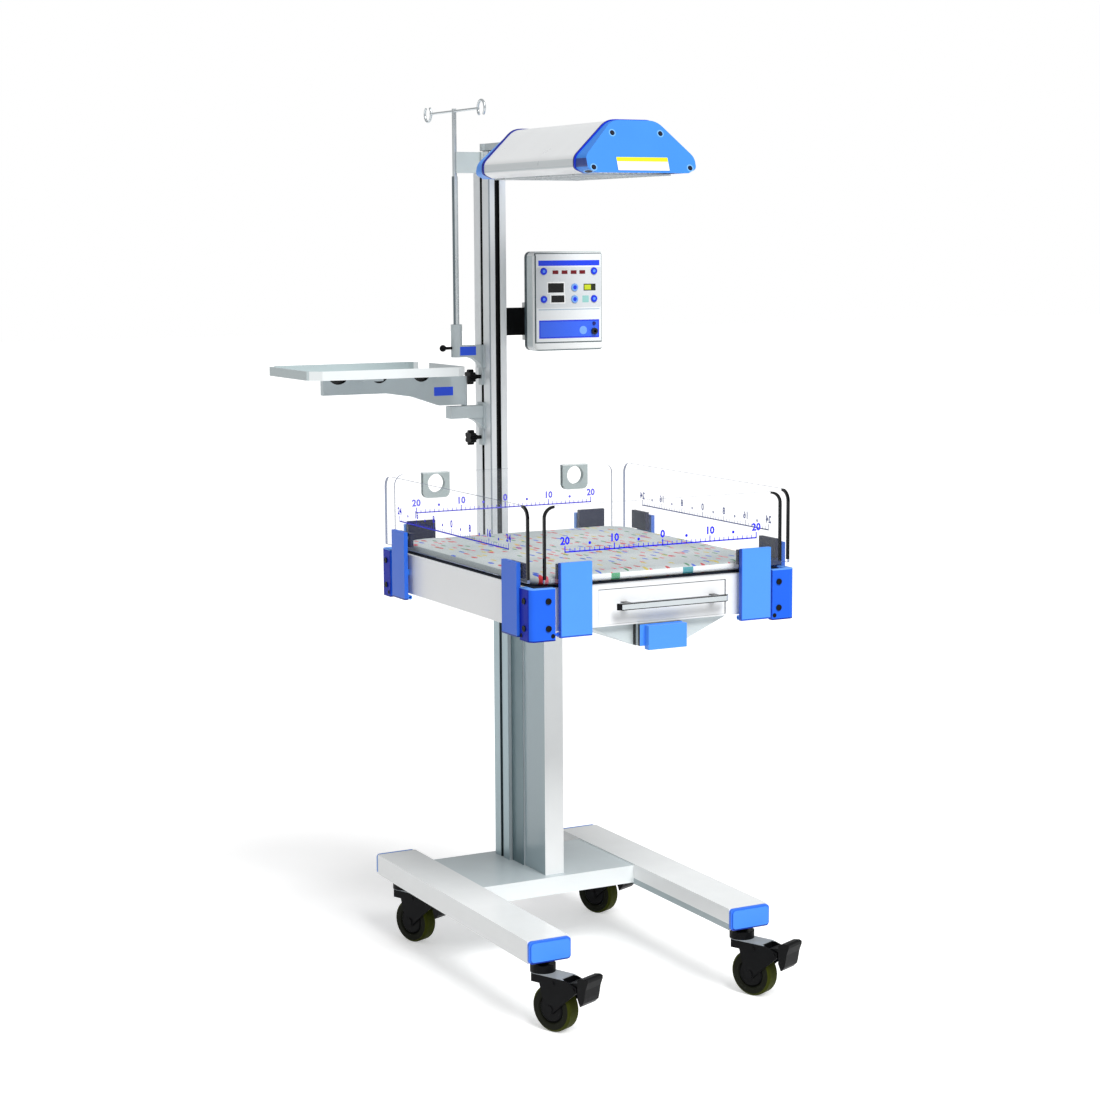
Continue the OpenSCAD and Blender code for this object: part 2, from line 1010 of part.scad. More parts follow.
module corner_block(hinged) {
    reach = hinged ? hinge_reach : rear_hinge_reach;
    translate([0, 0, block_bottom])
    linear_extrude(height = block_h)
    corner_plan();
    for (z = [screw_low, screw_high]) {
        rod_y([screw_end_x, block_y - eps, z], screw_d, screw_h + eps);
        rod_x([block_x - eps, screw_side_y, z], screw_d, screw_h + eps);
    }
    if (hinged)
        rod_x(
            [block_x - block_end_leg - hinge_reach, bed_y + hinge_off, hinge_z],
            hinge_d,
            hinge_reach + eps
        );
    rod_y(
        [bed_x + hinge_off, block_y - block_side_leg - reach, hinge_z],
        hinge_d,
        reach + eps
    );
}

module corner_blocks() {
    color("royalblue")
    for (s = both) {
        scale_x(s)
        corner_block(false);
        scale_x(s)
        mirror([0, 1, 0])
        corner_block(true);
    }
}

// Mirrored to the left when the side is negative
module scale_x(side) {
    if (side < 0)
        mirror([1, 0, 0])
        children();
    else
        children();
}

module mattress_deck() {
    color("darkslategray")
    difference() {
        union() {
            span([-deck_x, -deck_front, deck_z], [deck_x, deck_step_y, deck_z + deck_t]);
            span([-deck_narrow_x, 0, deck_z], [deck_narrow_x, deck_back, deck_z + deck_t]);
            for (s = both) {
                translate([s * deck_rib_x, 0, 0])
                span([-deck_rib_w / 2, -in_y + 2 * deck_rib_w, front_open_top + seat],
                    [deck_rib_w / 2, tilt_y - deck_rib_w, deck_z + eps]);
                translate([s * (tilt_barrel_in + tilt_barrel_out) / 2, 0, 0]) {
                    rod_x(
                        [-(tilt_barrel_out - tilt_barrel_in) / 2, tilt_y, tilt_z],
                        tilt_barrel_d,
                        tilt_barrel_out - tilt_barrel_in
                    );
                    span(
                        [-(tilt_barrel_out - tilt_barrel_in) / 2, tilt_y - tilt_barrel_d / 2, tilt_z],
                        [(tilt_barrel_out - tilt_barrel_in) / 2, tilt_y + tilt_pin_d / 2, deck_z + eps]
                    );
                }
            }
        }
        rod_x([-in_x, tilt_y, tilt_z], tilt_pin_d + 2 * fit_gap, 2 * in_x);
    }
}

module mattress_slice(inset, r, z) {
    translate([0, (mat_back - mat_front) / 2, z])
    linear_extrude(height = mat_slice)
    round_rect(2 * mat_x - 2 * inset, mat_front + mat_back - 2 * inset, r, $fn = 32);
}

module mattress() {
    color("lightgray")
    hull() {
        mattress_slice(mat_tuck, mattress_r - mat_tuck, mat_z);
        mattress_slice(0, mattress_r, mat_z + mat_roll);
        mattress_slice(0, mattress_r, mat_z + mattress_t - mat_roll);
        mattress_slice(mat_roll, mattress_r - mat_roll, mat_z + mattress_t - mat_slice);
        mattress_slice(mat_slope, mattress_r, mat_z + mattress_t + mattress_crown - mat_slice);
    }
}

module underbed_pan() {
    color("lightgray")
    difference() {
        along_y(-pan_front, pan_back)
        polygon([
            [-pan_x, bed_bottom], [-pan_low_x, pan_low_z],
            [pan_low_x, pan_low_z], [pan_x, bed_bottom]
        ]);
        along_y(-pan_front + pan_wall, pan_back - pan_wall)
        polygon([
            [-pan_x + 4 * pan_wall, bed_bottom + eps], [-pan_low_x - pan_wall, pan_low_z + pan_wall],
            [pan_low_x + pan_wall, pan_low_z + pan_wall], [pan_x - 4 * pan_wall, bed_bottom + eps]
        ]);
        span(
            [-stem_w / 2 - slide_gap, -pan_front - eps, stem_z - slide_gap],
            [stem_w / 2 + slide_gap, -pan_front + pan_wall + eps, stem_z + stem_h + slide_gap]
        );
    }
}

module tilt_handle() {
    color("dodgerblue") {
        translate([grip_shift, 0, 0])
        difference() {
            span([-grip_w / 2, -grip_y, grip_z], [grip_w / 2, -grip_y + grip_t, grip_z + grip_h]);
            for (s = both) {
                translate([s * grip_w / 2, -grip_y, 0])
                rotate([0, 0, s * 45])
                translate([-grip_cut, -grip_cut, grip_z - eps])
                cube([2 * grip_cut, grip_cut, grip_h + 2 * eps]);
                translate([0, -grip_y, grip_z + grip_h / 2 + s * grip_h / 2])
                rotate([-s * 45, 0, 0])
                translate([-grip_w / 2 - eps, -grip_cut, -grip_cut])
                cube([grip_w + 2 * eps, grip_cut, 2 * grip_cut]);
            }
        }
        span(
            [-neck_left, -grip_y + grip_t - eps, neck_z],
            [neck_right, -pan_front - seat, neck_z + neck_h]
        );
        span(
            [-stem_w / 2, -pan_front - eps - seat, stem_z],
            [stem_w / 2, -stem_back, stem_z + stem_h]
        );
        span(
            [-stem_w / 2 - stem_flange, -stem_back - eps, stem_z - stem_flange / 2],
            [stem_w / 2 + stem_flange, -stem_back + stem_stop_t, stem_z + stem_h + stem_flange / 2]
        );
    }
}

// Drawer

module drawer() {
    color("white") {
        span(
            [-drawer_x, -drawer_front_y, drawer_low],
            [drawer_x, -drawer_front_y + drawer_front_t, drawer_low + drawer_front_h]
        );
        difference() {
            span(
                [-drawer_tray_x, -drawer_front_y + drawer_front_t - eps, drawer_low],
                [drawer_tray_x, -drawer_front_y + drawer_front_t + drawer_l, drawer_low + drawer_h]
            );
            span(
                [-drawer_tray_x + drawer_wall, -drawer_front_y + drawer_front_t, drawer_low + drawer_wall],
                [
                    drawer_tray_x - drawer_wall,
                    -drawer_front_y + drawer_front_t + drawer_l - drawer_wall,
                    drawer_low + drawer_h + eps
                ]
            );
        }
    }
}

module drawer_handle() {
    color("silver")
    translate([handle_shift, 0, handle_z]) {
        translate([0, -handle_y, 0])
        linear_extrude(height = handle_h, center = true)
        polygon([
            [-handle_l / 2, handle_t], [-handle_l / 2 + handle_taper, 0],
            [handle_l / 2 - handle_taper, 0], [handle_l / 2, handle_t]
        ]);
        for (s = both)
            translate([s * (handle_l / 2 - post_in), 0, 0])
            span(
                [-post_w / 2, -handle_y + handle_t - eps, -handle_h / 2],
                [post_w / 2, -drawer_front_y, handle_h / 2]
            );
    }
}

// Side panels

// Panel drawing, centred, lower edge at zero
module panel_plan(w) {
    translate([-w / 2, 0])
    square([w, panel_h - panel_r]);
    translate([-w / 2 + panel_r, 0])
    square([w - 2 * panel_r, panel_h]);
    for (s = both)
        translate([s * (w / 2 - panel_r), panel_h - panel_r])
        circle(r = panel_r);
}

// Holes for the clamp bolts of a panel
module bolt_holes(at) {
    for (x = at, t = both)
        translate([x + t * bolt_x, bolt_z - panel_z])
        circle(d = bolt_d + 2 * seat);
}

module panel_front() {
    color([0.85, 0.93, 0.95, 0.4])
    translate([0, 0, panel_z])
    along_y(-panel_end_y - panel_t, -panel_end_y)
    difference() {
        panel_plan(panel_end_l);
        bolt_holes([-clamp_end_x, clamp_end_x]);
    }
}

module panel_rear() {
    color([0.85, 0.93, 0.95, 0.4])
    translate([0, 0, panel_z])
    along_y(panel_end_y, panel_end_y + panel_t)
    difference() {
        panel_plan(panel_end_l);
        for (s = both)
            translate([s * port_x, -panel_z])
            port_plan(port_lip);
    }
}

module side_panel() {
    translate([0, 0, panel_z])
    along_x(panel_side_x, panel_side_x + panel_t)
    difference() {
        panel_plan(panel_side_l);
        bolt_holes([clamp_side_front, clamp_side_rear]);
    }
}

module panel_left() {
    color([0.85, 0.93, 0.95, 0.4])
    mirror([1, 0, 0])
    side_panel();
}

module panel_right() {
    color([0.85, 0.93, 0.95, 0.4])
    side_panel();
}

// Hinged clamp, drawn in front of a frame face at Y zero and centred on X
module hinged_clamp(w, jaw_h) {
    difference() {
        union() {
            span(
                [-w / 2, -panel_in - panel_t - clamp_t, clamp_z],
                [w / 2, -panel_in - panel_t, clamp_z + clamp_h]
            );
            rod_x([-w / 2, -hinge_off, hinge_z], knuckle_d, w);
            span(
                [-w / 2, -panel_in - panel_t - eps, hinge_z - hinge_d / 2],
                [w / 2, -hinge_off, hinge_z + knuckle_d / 2]
            );
            span(
                [-pad_w / 2, -panel_in - panel_t - eps, pad_z],
                [pad_w / 2, -seat, pad_z + pad_h]
            );
        }
        rod_x([-w / 2 - eps, -hinge_off, hinge_z], hinge_d + 2 * fit_gap, w + 2 * eps);
    }
    span([-w / 2 + jaw_edge, -panel_in, jaw_z], [w / 2 - jaw_edge, -panel_in + jaw_t, jaw_z + jaw_h]);
    for (t = both)
        rod_y([t * bolt_x, -panel_in - panel_t - eps, bolt_z], bolt_d, panel_t + 2 * eps);
}

module panel_clamps_front() {
    color("cornflowerblue")
    for (s = both)
        translate([s * clamp_end_x, -bed_y, 0])
        hinged_clamp(clamp_end_w, jaw_low_h);
}

module side_clamps(jaw_h) {
    for (y = [clamp_side_front, clamp_side_rear])
        translate([bed_x, y, 0])
        rotate([0, 0, 90])
        hinged_clamp(clamp_side_w, jaw_h);
}

module panel_clamps_left() {
    color("cornflowerblue")
    mirror([1, 0, 0])
    side_clamps(jaw_low_h);
}

module panel_clamps_right() {
    color("cornflowerblue")
    side_clamps(jaw_high_h);
}

module panel_clamps_rear() {
    color("cornflowerblue")
    for (s = both)
        translate([s * clamp_rear_x, bed_y, 0]) {
            span(
                [-clamp_rear_w / 2, panel_in + panel_t + panel_gap, clamp_z],
                [clamp_rear_w / 2, panel_in + panel_t + clamp_t, clamp_z + clamp_h]
            );
            span(
                [-clamp_rear_w / 2, 0, rear_pad_z],
                [clamp_rear_w / 2, panel_in + panel_t + panel_gap + eps, rear_pad_top]
            );
            span(
                [-clamp_rear_w / 2 + jaw_edge, panel_in - panel_gap - jaw_t, bed_top],
                [clamp_rear_w / 2 - jaw_edge, panel_in - panel_gap, jaw_z + jaw_high_h]
            );
        }
}

// Port's outline drawn in by an edge, round at its lower corners
module port_plan(edge) {
    half = port_w / 2 - edge;
    low = port_top - port_h + edge;
    translate([-half, low + port_r])
    square([2 * half, port_top - low - port_r]);
    translate([-half + port_r, low])
    square([2 * half - 2 * port_r, 2 * port_r]);
    for (s = both)
        translate([s * (half - port_r), low + port_r])
        circle(r = port_r);
}

module tubing_ports() {
    color("darkgray")
    for (s = both)
        translate([s * port_x, panel_end_y, 0])
        difference() {
            union() {
                along_y(-port_flange, 0)
                port_plan(0);
                along_y(panel_t, panel_t + port_flange)
                port_plan(0);
                along_y(-eps, panel_t + eps)
                port_plan(port_lip);
            }
            rod_y([0, -2 * port_flange, port_top - port_drop], port_d, 4 * port_flange + panel_t);
        }
}

// Heater head

// Head's outline drawn in by a wall
module head_inside(wall) {
    polygon(bent([
        [-head_w / 2 + head_chamfer + lip_shift * wall, -eps],
        [-head_w / 2 + wall, head_chamfer_h + lip_rise * wall],
        [-head_w / 2 + wall, head_side - wall / 2], [-head_top_w / 2 + wall / 2, head_h - wall],
        [head_top_w / 2 - wall / 2, head_h - wall], [head_w / 2 - wall, head_side - wall / 2],
        [head_w / 2 - wall, head_chamfer_h + lip_rise * wall],
        [head_w / 2 - head_chamfer - lip_shift * wall, -eps]
    ], head_bends));
}

module head_casing() {
    color("whitesmoke")
    translate([0, 0, head_bottom])
    difference() {
        along_y(-casing_front, casing_rear)
        polygon(head_shape(0));
        along_y(-casing_front - eps, casing_rear + eps)
        head_inside(head_wall);
    }
}

module front_slope_cut(back) {
    translate([0, -casing_front - front_cap_l + back, 0])
    rotate([-front_cap_angle, 0, 0])
    translate([-head_w, -head_h, -head_h])
    cube([2 * head_w, head_h, 4 * head_h]);
}

module rear_slope_cut(back) {
    translate([0, casing_rear + rear_cap_l - back, 0])
    rotate([front_cap_angle, 0, 0])
    translate([-head_w, 0, -head_h])
    cube([2 * head_w, head_h, 4 * head_h]);
}

module on_front_slope() {
    translate([0, -casing_front - front_cap_l, 0])
    rotate([-front_cap_angle, 0, 0])
    children();
}

module head_end_caps() {
    color("cornflowerblue") {
        translate([0, 0, head_bottom]) {
            difference() {
                union() {
                    along_y(-casing_front - front_cap_l - eps, -casing_front)
                    polygon(head_shape(0));
                    along_y(-casing_front - cap_lip_l, -casing_front)
                    polygon(head_shape(cap_lip));
                }
                front_slope_cut(0);
                difference() {
                    along_y(-casing_front - front_cap_l, -casing_front + eps)
                    head_inside(cap_wall);
                    front_slope_cut(cap_wall);
                }
            }
            for (s = both) {
                on_front_slope()
                rod_y([s * head_screw_x, -head_screw_h, head_screw_z], head_screw_d, head_screw_h + eps);
                on_front_slope()
                rod_y([s * low_screw_x, -head_screw_h, low_screw_z], head_screw_d, head_screw_h + eps);
            }
            on_front_slope()
            span(
                [label_x - label_w / 2, -label_t, cap_wall],
                [label_x + label_w / 2, eps, cap_wall + label_h]
            );
            difference() {
                union() {
                    along_y(casing_rear, casing_rear + rear_cap_l)
                    polygon(head_shape(0));
                    along_y(casing_rear, casing_rear + cap_lip_l)
                    polygon(head_shape(cap_lip));
                }
                rear_slope_cut(0);
                difference() {
                    along_y(casing_rear - eps, casing_rear + rear_cap_l)
                    head_inside(cap_wall);
                    rear_slope_cut(cap_wall);
                }
                span(
                    [-neck_tube_w / 2 - seat, casing_rear, neck_tube_z - seat - head_bottom],
                    [
                        neck_tube_w / 2 + seat,
                        casing_rear + rear_cap_l + eps,
                        neck_tube_z + neck_tube_h + seat - head_bottom
                    ]
                );
            }
        }
    }
}

module head_neck() {
    color("gray") {
        span(
            [-neck_tube_w / 2, neck_front, neck_tube_z],
            [neck_tube_w / 2, mast_y, neck_tube_z + neck_tube_h]
        );
        rod_z([0, mast_y, neck_tube_z], neck_hub_d, neck_tube_h);
        rod_z([0, mast_y, mast_top + seat], neck_hub_d - neck_tube_h, neck_tube_h);
        rod_z([0, mast_y, mast_top - neck_pin_l], mast_core_d, neck_pin_l + neck_tube_h);
        span(
            [-neck_tube_w, neck_front - neck_plate_t, neck_tube_z - neck_tube_h],
            [neck_tube_w, neck_front, neck_tube_z + 2 * neck_tube_h]
        );
        span(
            [-neck_pad_w / 2, neck_front - neck_hang_l, neck_tube_z + neck_tube_h],
            [neck_pad_w / 2, neck_front, head_bottom + head_h - head_wall]
        );
    }
}

module reflector_plan(wall) {
    polygon([
        [-reflector_w / 2 + wall, 0 - (wall > 0 ? eps : 0)],
        [-reflector_top_w / 2 + wall, reflector_h - wall],
        [reflector_top_w / 2 - wall, reflector_h - wall],
        [reflector_w / 2 - wall, 0 - (wall > 0 ? eps : 0)]
    ]);
}

module reflector() {
    color("silver")
    translate([0, 0, reflector_z]) {
        difference() {
            along_y(-reflector_front, reflector_back)
            reflector_plan(0);
            along_y(-reflector_front + reflector_t, reflector_back - reflector_t)
            reflector_plan(reflector_t);
        }
        for (s = [0, 1])
            mirror([s, 0, 0])
            span(
                [reflector_w / 2 - reflector_t, -reflector_front, 0],
                [reflector_rim, reflector_back, reflector_t]
            );
    }
}

module heater_tubes() {
    color("orangered")
    for (s = both) {
        rod_y(
            [s * heater_x, -reflector_front + reflector_t, heater_z],
            heater_d,
            reflector_front + reflector_back - 2 * reflector_t
        );
        rod_y([s * heater_x, -reflector_front + reflector_t, heater_z], heater_end_d, heater_end_l);
        rod_y(
            [s * heater_x, reflector_back - reflector_t - heater_end_l, heater_z],
            heater_end_d,
            heater_end_l
        );
    }
}

module guard_grille() {
    color("silver") {
        difference() {
            span(
                [-grille_w / 2, -reflector_front, grille_z],
                [grille_w / 2, reflector_back, grille_z + grille_t]
            );
            span(
                [-grille_w / 2 + 2 * grille_bar, -reflector_front + 2 * grille_bar, grille_z - eps],
                [grille_w / 2 - 2 * grille_bar, reflector_back - 2 * grille_bar, grille_z + grille_t + eps]
            );
        }
        for (i = [1 : grille_bars])
            translate([0, -reflector_front + i * (reflector_front + reflector_back) / (grille_bars + 1), 0])
            span(
                [-grille_w / 2 + grille_bar, -grille_bar / 2, grille_z],
                [grille_w / 2 - grille_bar, grille_bar / 2, grille_z + grille_t]
            );
        span(
            [-grille_bar / 2, -reflector_front + grille_bar, grille_z],
            [grille_bar / 2, reflector_back - grille_bar, grille_z + grille_t]
        );
    }
}

// Control box

module control_bracket() {
    color("black")
    difference() {
        union() {
            span(
                [mast_w / 2, mast_y - arm_deep, arm_z],
                [mast_w / 2 + arm_plate_t, mast_y + arm_deep, arm_z + arm_h]
            );
            span(
                [mast_w / 2 + arm_plate_t - eps, arm_y - arm_deep / 2, arm_z],
                [arm_x, arm_y + arm_deep / 2, arm_z + arm_h]
            );
            rod_z([arm_x, arm_y, arm_z], arm_deep, arm_h);
            rod_z(
                [arm_x, arm_y, arm_z - ear_h - ear_gap],
                barrel_pin_d,
                arm_h + 2 * ear_h + 2 * ear_gap
            );
        }
    }
}

module box_plan(grow) {
    translate([box_mid_x, box_mid_z])
    round_rect(box_w + 2 * grow, box_h + 2 * grow, box_r + grow / 2);
}

module control_housing() {
    color("whitesmoke")
    difference() {
        union() {
            along_y(box_front + box_bevel / 2, box_back - 2 * box_bevel)
            box_plan(0);
            along_y(box_front + box_bevel / 4, box_back - 2 * box_bevel)
            box_plan(-box_bevel / 4);
            along_y(box_front, box_back - 2 * box_bevel)
            box_plan(-box_bevel / 2);
            along_y(box_back - 2 * box_bevel - eps, box_back)
            box_plan(-box_rear_cut);
            for (z = [arm_z - ear_h - ear_gap, arm_z + arm_h + ear_gap]) {
                span(
                    [arm_x - barrel_d / 2, box_back - eps, z],
                    [arm_x + barrel_d / 2, arm_y, z + ear_h]
                );
                rod_z([arm_x, arm_y, z], barrel_d, ear_h);
            }
        }
        along_y(box_front + face_pocket, box_back - 2 * box_bevel - box_wall)
        box_plan(-2 * box_wall - box_bevel / 2);
        span([face_left, box_front - eps, face_low], [face_right, box_front + face_pocket + eps, face_high]);
        rod_y([jack_x, box_front - eps, jack_z], jack_d, face_pocket + 2 * eps);
        for (i = [1 : rear_vents])
            span(
                [
                    box_mid_x + box_wall,
                    box_back - 2 * box_bevel - box_wall - eps,
                    box_top - 3 * box_r - i * rear_vent_pitch
                ],
                [
                    box_mid_x + box_wall + rear_vent_w,
                    box_back + eps,
                    box_top - 3 * box_r - i * rear_vent_pitch + rear_vent_h
                ]
            );
        for (z = [arm_z - ear_h - ear_gap, arm_z + arm_h + ear_gap])
            rod_z([arm_x, arm_y, z - eps], barrel_pin_d + 2 * fit_gap, ear_h + 2 * eps);
    }
}

module control_faceplate() {
    color("whitesmoke")
    difference() {
        union() {
            span([face_left, face_y, face_low], [face_right, face_y + face_t, face_high]);
            for (x = lamp_x)
                span(
                    [x - lamp_w / 2, face_y - window_t, lamp_z - lamp_h / 2],
                    [x + lamp_w / 2, face_y + eps, lamp_z + lamp_h / 2]
                );
            span(
                [skin_window[0], face_y - window_t, skin_window[1]],
                [skin_window[2], face_y + eps, skin_window[3]]
            );
            span(
                [set_window[0], face_y - window_t, set_window[1]],
                [set_window[2], face_y + eps, set_window[3]]
            );
            rod_y([jack_x, face_y - jack_out, jack_z], jack_d, jack_out + face_t);
            rod_y([jack_x, face_y - small_jack_out, small_jack_z], small_jack_d, small_jack_out + eps);
        }
        for (x = [key_left, key_right], z = [key_low, key_high])
            rod_y([x, face_y - eps, z], key_d + 2 * key_gap, face_t + 2 * eps);
        for (z = [set_key_low, set_key_high])
            rod_y([set_key_x, face_y - eps, z], set_key_d + 2 * key_gap, face_t + 2 * eps);
        rod_y([jack_x, face_y - jack_out - eps, jack_z], jack_hole_d, jack_out + face_t);
    }
}

module push_key(x, z, d) {
    rod_y([x, face_y - key_out, z], d, key_out + face_t + key_gap + eps);
    rod_y([x, face_y + face_t + key_gap, z], d + key_flange, key_flange_t);
}

module key_alarm() {
    color("blue")
    push_key(key_left, key_high, key_d);
}

module key_mute() {
    color("blue")
    push_key(key_right, key_high, key_d);
}

module key_mode() {
    color("blue")
    push_key(key_left, key_low, key_d);
}

module key_lamp() {
    color("blue")
    push_key(key_right, key_low, key_d);
}

module key_up() {
    color("skyblue")
    push_key(set_key_x, set_key_high, set_key_d);
}

module key_down() {
    color("skyblue")
    push_key(set_key_x, set_key_low, set_key_d);
}

// Infusion pole

// Curved web between an arm's underside and its bar on the mast's left face
module arm_web(tip_x, top_z, root_z, deep) {
    w = tip_x - mast_w / 2 - bar_t;
    h = top_z - root_z;
    r = (w * w + h * h) / (2 * h);
    along_y(mast_y - deep / 2, mast_y + deep / 2)
    difference() {
        translate([-tip_x, root_z])
        square([w + eps, h + eps]);
        translate([-tip_x, top_z - r])
        circle(r = r);
    }
}

module iv_brackets() {
    color("silver") {
        difference() {
            union() {
                span(
                    [-mast_w / 2 - bar_t, mast_y - bar_d / 2, pole_root_z],
                    [-mast_w / 2, mast_y + bar_d / 2, pole_arm_z + pole_arm_h]
                );
                span(
                    [-mast_w / 2 - bar_t, mast_y - strap_d / 2, pole_bar_low],
                    [-mast_w / 2, mast_y + strap_d / 2, pole_root_z + eps]
                );
                arm_web(pole_root_x, pole_arm_z, pole_root_z, pole_arm_d);
                span(
                    [-pole_x, mast_y - pole_arm_d / 2, pole_arm_z],
                    [-mast_w / 2 - bar_t + eps, mast_y + pole_arm_d / 2, pole_arm_z + pole_arm_h]
                );
                rod_z([-pole_x, mast_y, pole_arm_z], collar_d, collar_top - pole_arm_z);
            }
            rod_z([-pole_x, mast_y, pole_arm_z + pole_arm_h], tube_d, collar_top - pole_arm_z);
            rod_x([-mast_w, mast_y, knob_z], screw_shaft_d + 2 * fit_gap, mast_w);
            rod_x([-ball_x, mast_y, ball_z], ball_stem_d + 2 * fit_gap, ball_x - pole_x);
        }
        difference() {
            union() {
                span(
                    [-mast_w / 2 - bar_t, mast_y - bar_d / 2, guide_z],
                    [-mast_w / 2, mast_y + bar_d / 2, guide_z + guide_h]
                );
                span(
                    [-pole_x, mast_y - guide_d / 2, guide_z],
                    [-mast_w / 2 - bar_t + eps, mast_y + guide_d / 2, guide_z + guide_h]
                );
            }
            rod_z([-pole_x, mast_y, guide_z - eps], rod_d + 2 * seat, guide_h + 2 * eps);
        }
    }
}

module iv_tube() {
    color("silver")
    difference() {
        rod_z([-pole_x, mast_y, pole_arm_z + pole_arm_h], tube_d, tube_top - pole_arm_z - pole_arm_h);
        rod_z([-pole_x, mast_y, pole_arm_z + pole_arm_h + hook_wire], rod_d + 2 * fit_gap, tube_top);
    }
}

module iv_rod() {
    color("silver") {
        rod_z([-pole_x, mast_y, rod_low], rod_d, rod_top - rod_low);
        rod_y(
            [-pole_x, mast_y - hook_span / 2 + hook_d / 2 - hook_wire, rod_top - hook_wire],
            hook_wire,
            hook_span - hook_d + 2 * hook_wire
        );
        for (s = both)
            translate([-pole_x, mast_y + s * hook_span / 2, rod_top - hook_wire])
            rotate([0, 90, 0])
            rotate([0, 0, s * hook_start + (s < 0 ? 0 : 180)])
            rotate_extrude(angle = s * hook_sweep)
            translate([(hook_d - hook_wire) / 2, 0])
            circle(d = hook_wire, $fn = 24);
    }
}

module star_knob(z) {
    translate([0, mast_y, z])
    rotate([0, -90, 0]) {
        translate([0, 0, knob_out])
        linear_extrude(knob_t)
        union() {
            circle(d = knob_d - knob_lobe_d);
            for (i = [0 : knob_lobes - 1])
                rotate([0, 0, i * 360 / knob_lobes])
                translate([(knob_d - knob_lobe_d) / 2, 0])
                circle(d = knob_lobe_d);
        }
        translate([0, 0, knob_out - hub_knob_l])
        cylinder(d1 = screw_shaft_d + 2, d2 = hub_knob_d, h = hub_knob_l + seat);
        translate([0, 0, mast_w / 2 - slot_depth + knob_end_gap])
        cylinder(d = screw_shaft_d, h = knob_out - mast_w / 2 + slot_depth);
    }
}

module knob_upper() {
    color("black")
    star_knob(knob_z);
}

module knob_lower() {
    color("black")
    star_knob(low_knob_z);
}

module knob_ball() {
    color("black") {
        translate([-ball_x, mast_y, ball_z])
        rotate([0, 0, 180])
        sphere(d = ball_d);
        rod_x([-ball_x, mast_y, ball_z], ball_stem_d, ball_x - pole_x - seat);
    }
}

// Tray

module tray_bracket() {
    color("silver") {
        difference() {
            union() {
                span(
                    [-mast_w / 2 - bar_t, mast_y - bar_d / 2, tray_root_z],
                    [-mast_w / 2, mast_y + bar_d / 2, tray_bar_high]
                );
                span(
                    [-mast_w / 2 - bar_t, mast_y - strap_d / 2, tray_bar_low],
                    [-mast_w / 2, mast_y + strap_d / 2, tray_root_z + eps]
                );
                span(
                    [-tray_arm_reach, mast_y - tray_arm_deep / 2, tray_arm_z],
                    [-mast_w / 2 - bar_t + eps, mast_y + tray_arm_deep / 2, tray_arm_z + tray_arm_h]
                );
                arm_web(tray_root_x, tray_arm_z, tray_root_z, pole_arm_d);
            }
            rod_x([-mast_w, mast_y, low_knob_z], screw_shaft_d + 2 * fit_gap, mast_w);
        }
        rod_z([-pivot_x, mast_y, tray_arm_z + tray_arm_h - eps], pivot_pin_d, sleeve_top - sleeve_low);
    }
}

module tray_arm() {
    color("silver")
    difference() {
        union() {
            along_y(mast_y - arm_t / 2, mast_y + arm_t / 2)
            polygon([
                [-arm_left, beam_low], [-arm_left, beam_top],
                [-pivot_x - pivot_d / 4, beam_top], [-pivot_x - pivot_d / 4, beam_root_low],
                [-beam_root_x, beam_root_low], [-beam_curve_x / 2 - beam_root_x / 2, beam_low - beam_sag],
                [-beam_curve_x, beam_low]
            ]);
            rod_z([-pivot_x, mast_y, sleeve_low], pivot_d, sleeve_top - sleeve_low);
            span(
                [-arm_left + 4 * arm_t, tray_front + tray_cut, beam_top],
                [-arm_left + 7 * arm_t, tray_front + tray_w - tray_cut, tray_z]
            );
            span(
                [-tray_left + tray_l - 3 * arm_t, mast_y - 3 * arm_t, beam_top],
                [-tray_left + tray_l - arm_t, mast_y + 3 * arm_t, tray_z]
            );
        }
        rod_z(
            [-pivot_x, mast_y, sleeve_low - eps],
            pivot_pin_d + 2 * fit_gap,
            sleeve_top - sleeve_low - eps
        );
        for (i = [0 : 2])
            rod_y(
                [-notch_x[i], mast_y - arm_t / 2 - eps, beam_top + notch_radius(notch_w[i]) - notch_d],
                2 * notch_radius(notch_w[i]),
                arm_t / 2 + eps
            );
    }
}

module tray_plan(inset) {
    difference() {
        translate([inset, inset])
        square([tray_l - 2 * inset, tray_w - 2 * inset]);
        for (x = [0, tray_l], y = [0, tray_w])
            translate([x, y])
            rotate([0, 0, 45])
            square(sqrt(2) * tray_cut + inset * tan(tray_cut_a), center = true);
    }
}

module tray_shelf() {
    color("lightgray")
    translate([-tray_left, tray_front, tray_z])
    difference() {
        linear_extrude(height = tray_rim)
        tray_plan(0);
        translate([0, 0, tray_floor_t])
        linear_extrude(height = tray_rim)
        tray_plan(tray_wall);
        translate([tray_l - tray_gap_x, tray_w - tray_gap_y, tray_floor_t])
        cube([tray_gap_x + eps, tray_gap_y + eps, tray_rim]);
    }
}

// Drawing

base_legs();
leg_end_caps();
base_plate();
caster_fork_fl();
caster_fork_fr();
caster_fork_rl();
caster_fork_rr();
caster_wheel_fl();
caster_wheel_fr();
caster_wheel_rl();
caster_wheel_rr();
brake_pedal_fl();
brake_pedal_fr();
brake_pedal_rl();
brake_pedal_rr();
rear_column();
bed_column();
mast_foot();
mast();
bed_frame();
corner_blocks();
mattress_deck();
mattress();
underbed_pan();
drawer();
drawer_handle();
tilt_handle();
panel_front();
panel_rear();
panel_left();
panel_right();
panel_clamps_front();
panel_clamps_rear();
panel_clamps_left();
panel_clamps_right();
tubing_ports();
head_neck();
head_casing();
head_end_caps();
reflector();
heater_tubes();
guard_grille();
control_bracket();
control_housing();
control_faceplate();
key_alarm();
key_mute();
key_mode();
key_lamp();
key_up();
key_down();
iv_brackets();
iv_tube();
iv_rod();
tray_bracket();
tray_arm();
tray_shelf();
knob_upper();
knob_lower();
knob_ball();
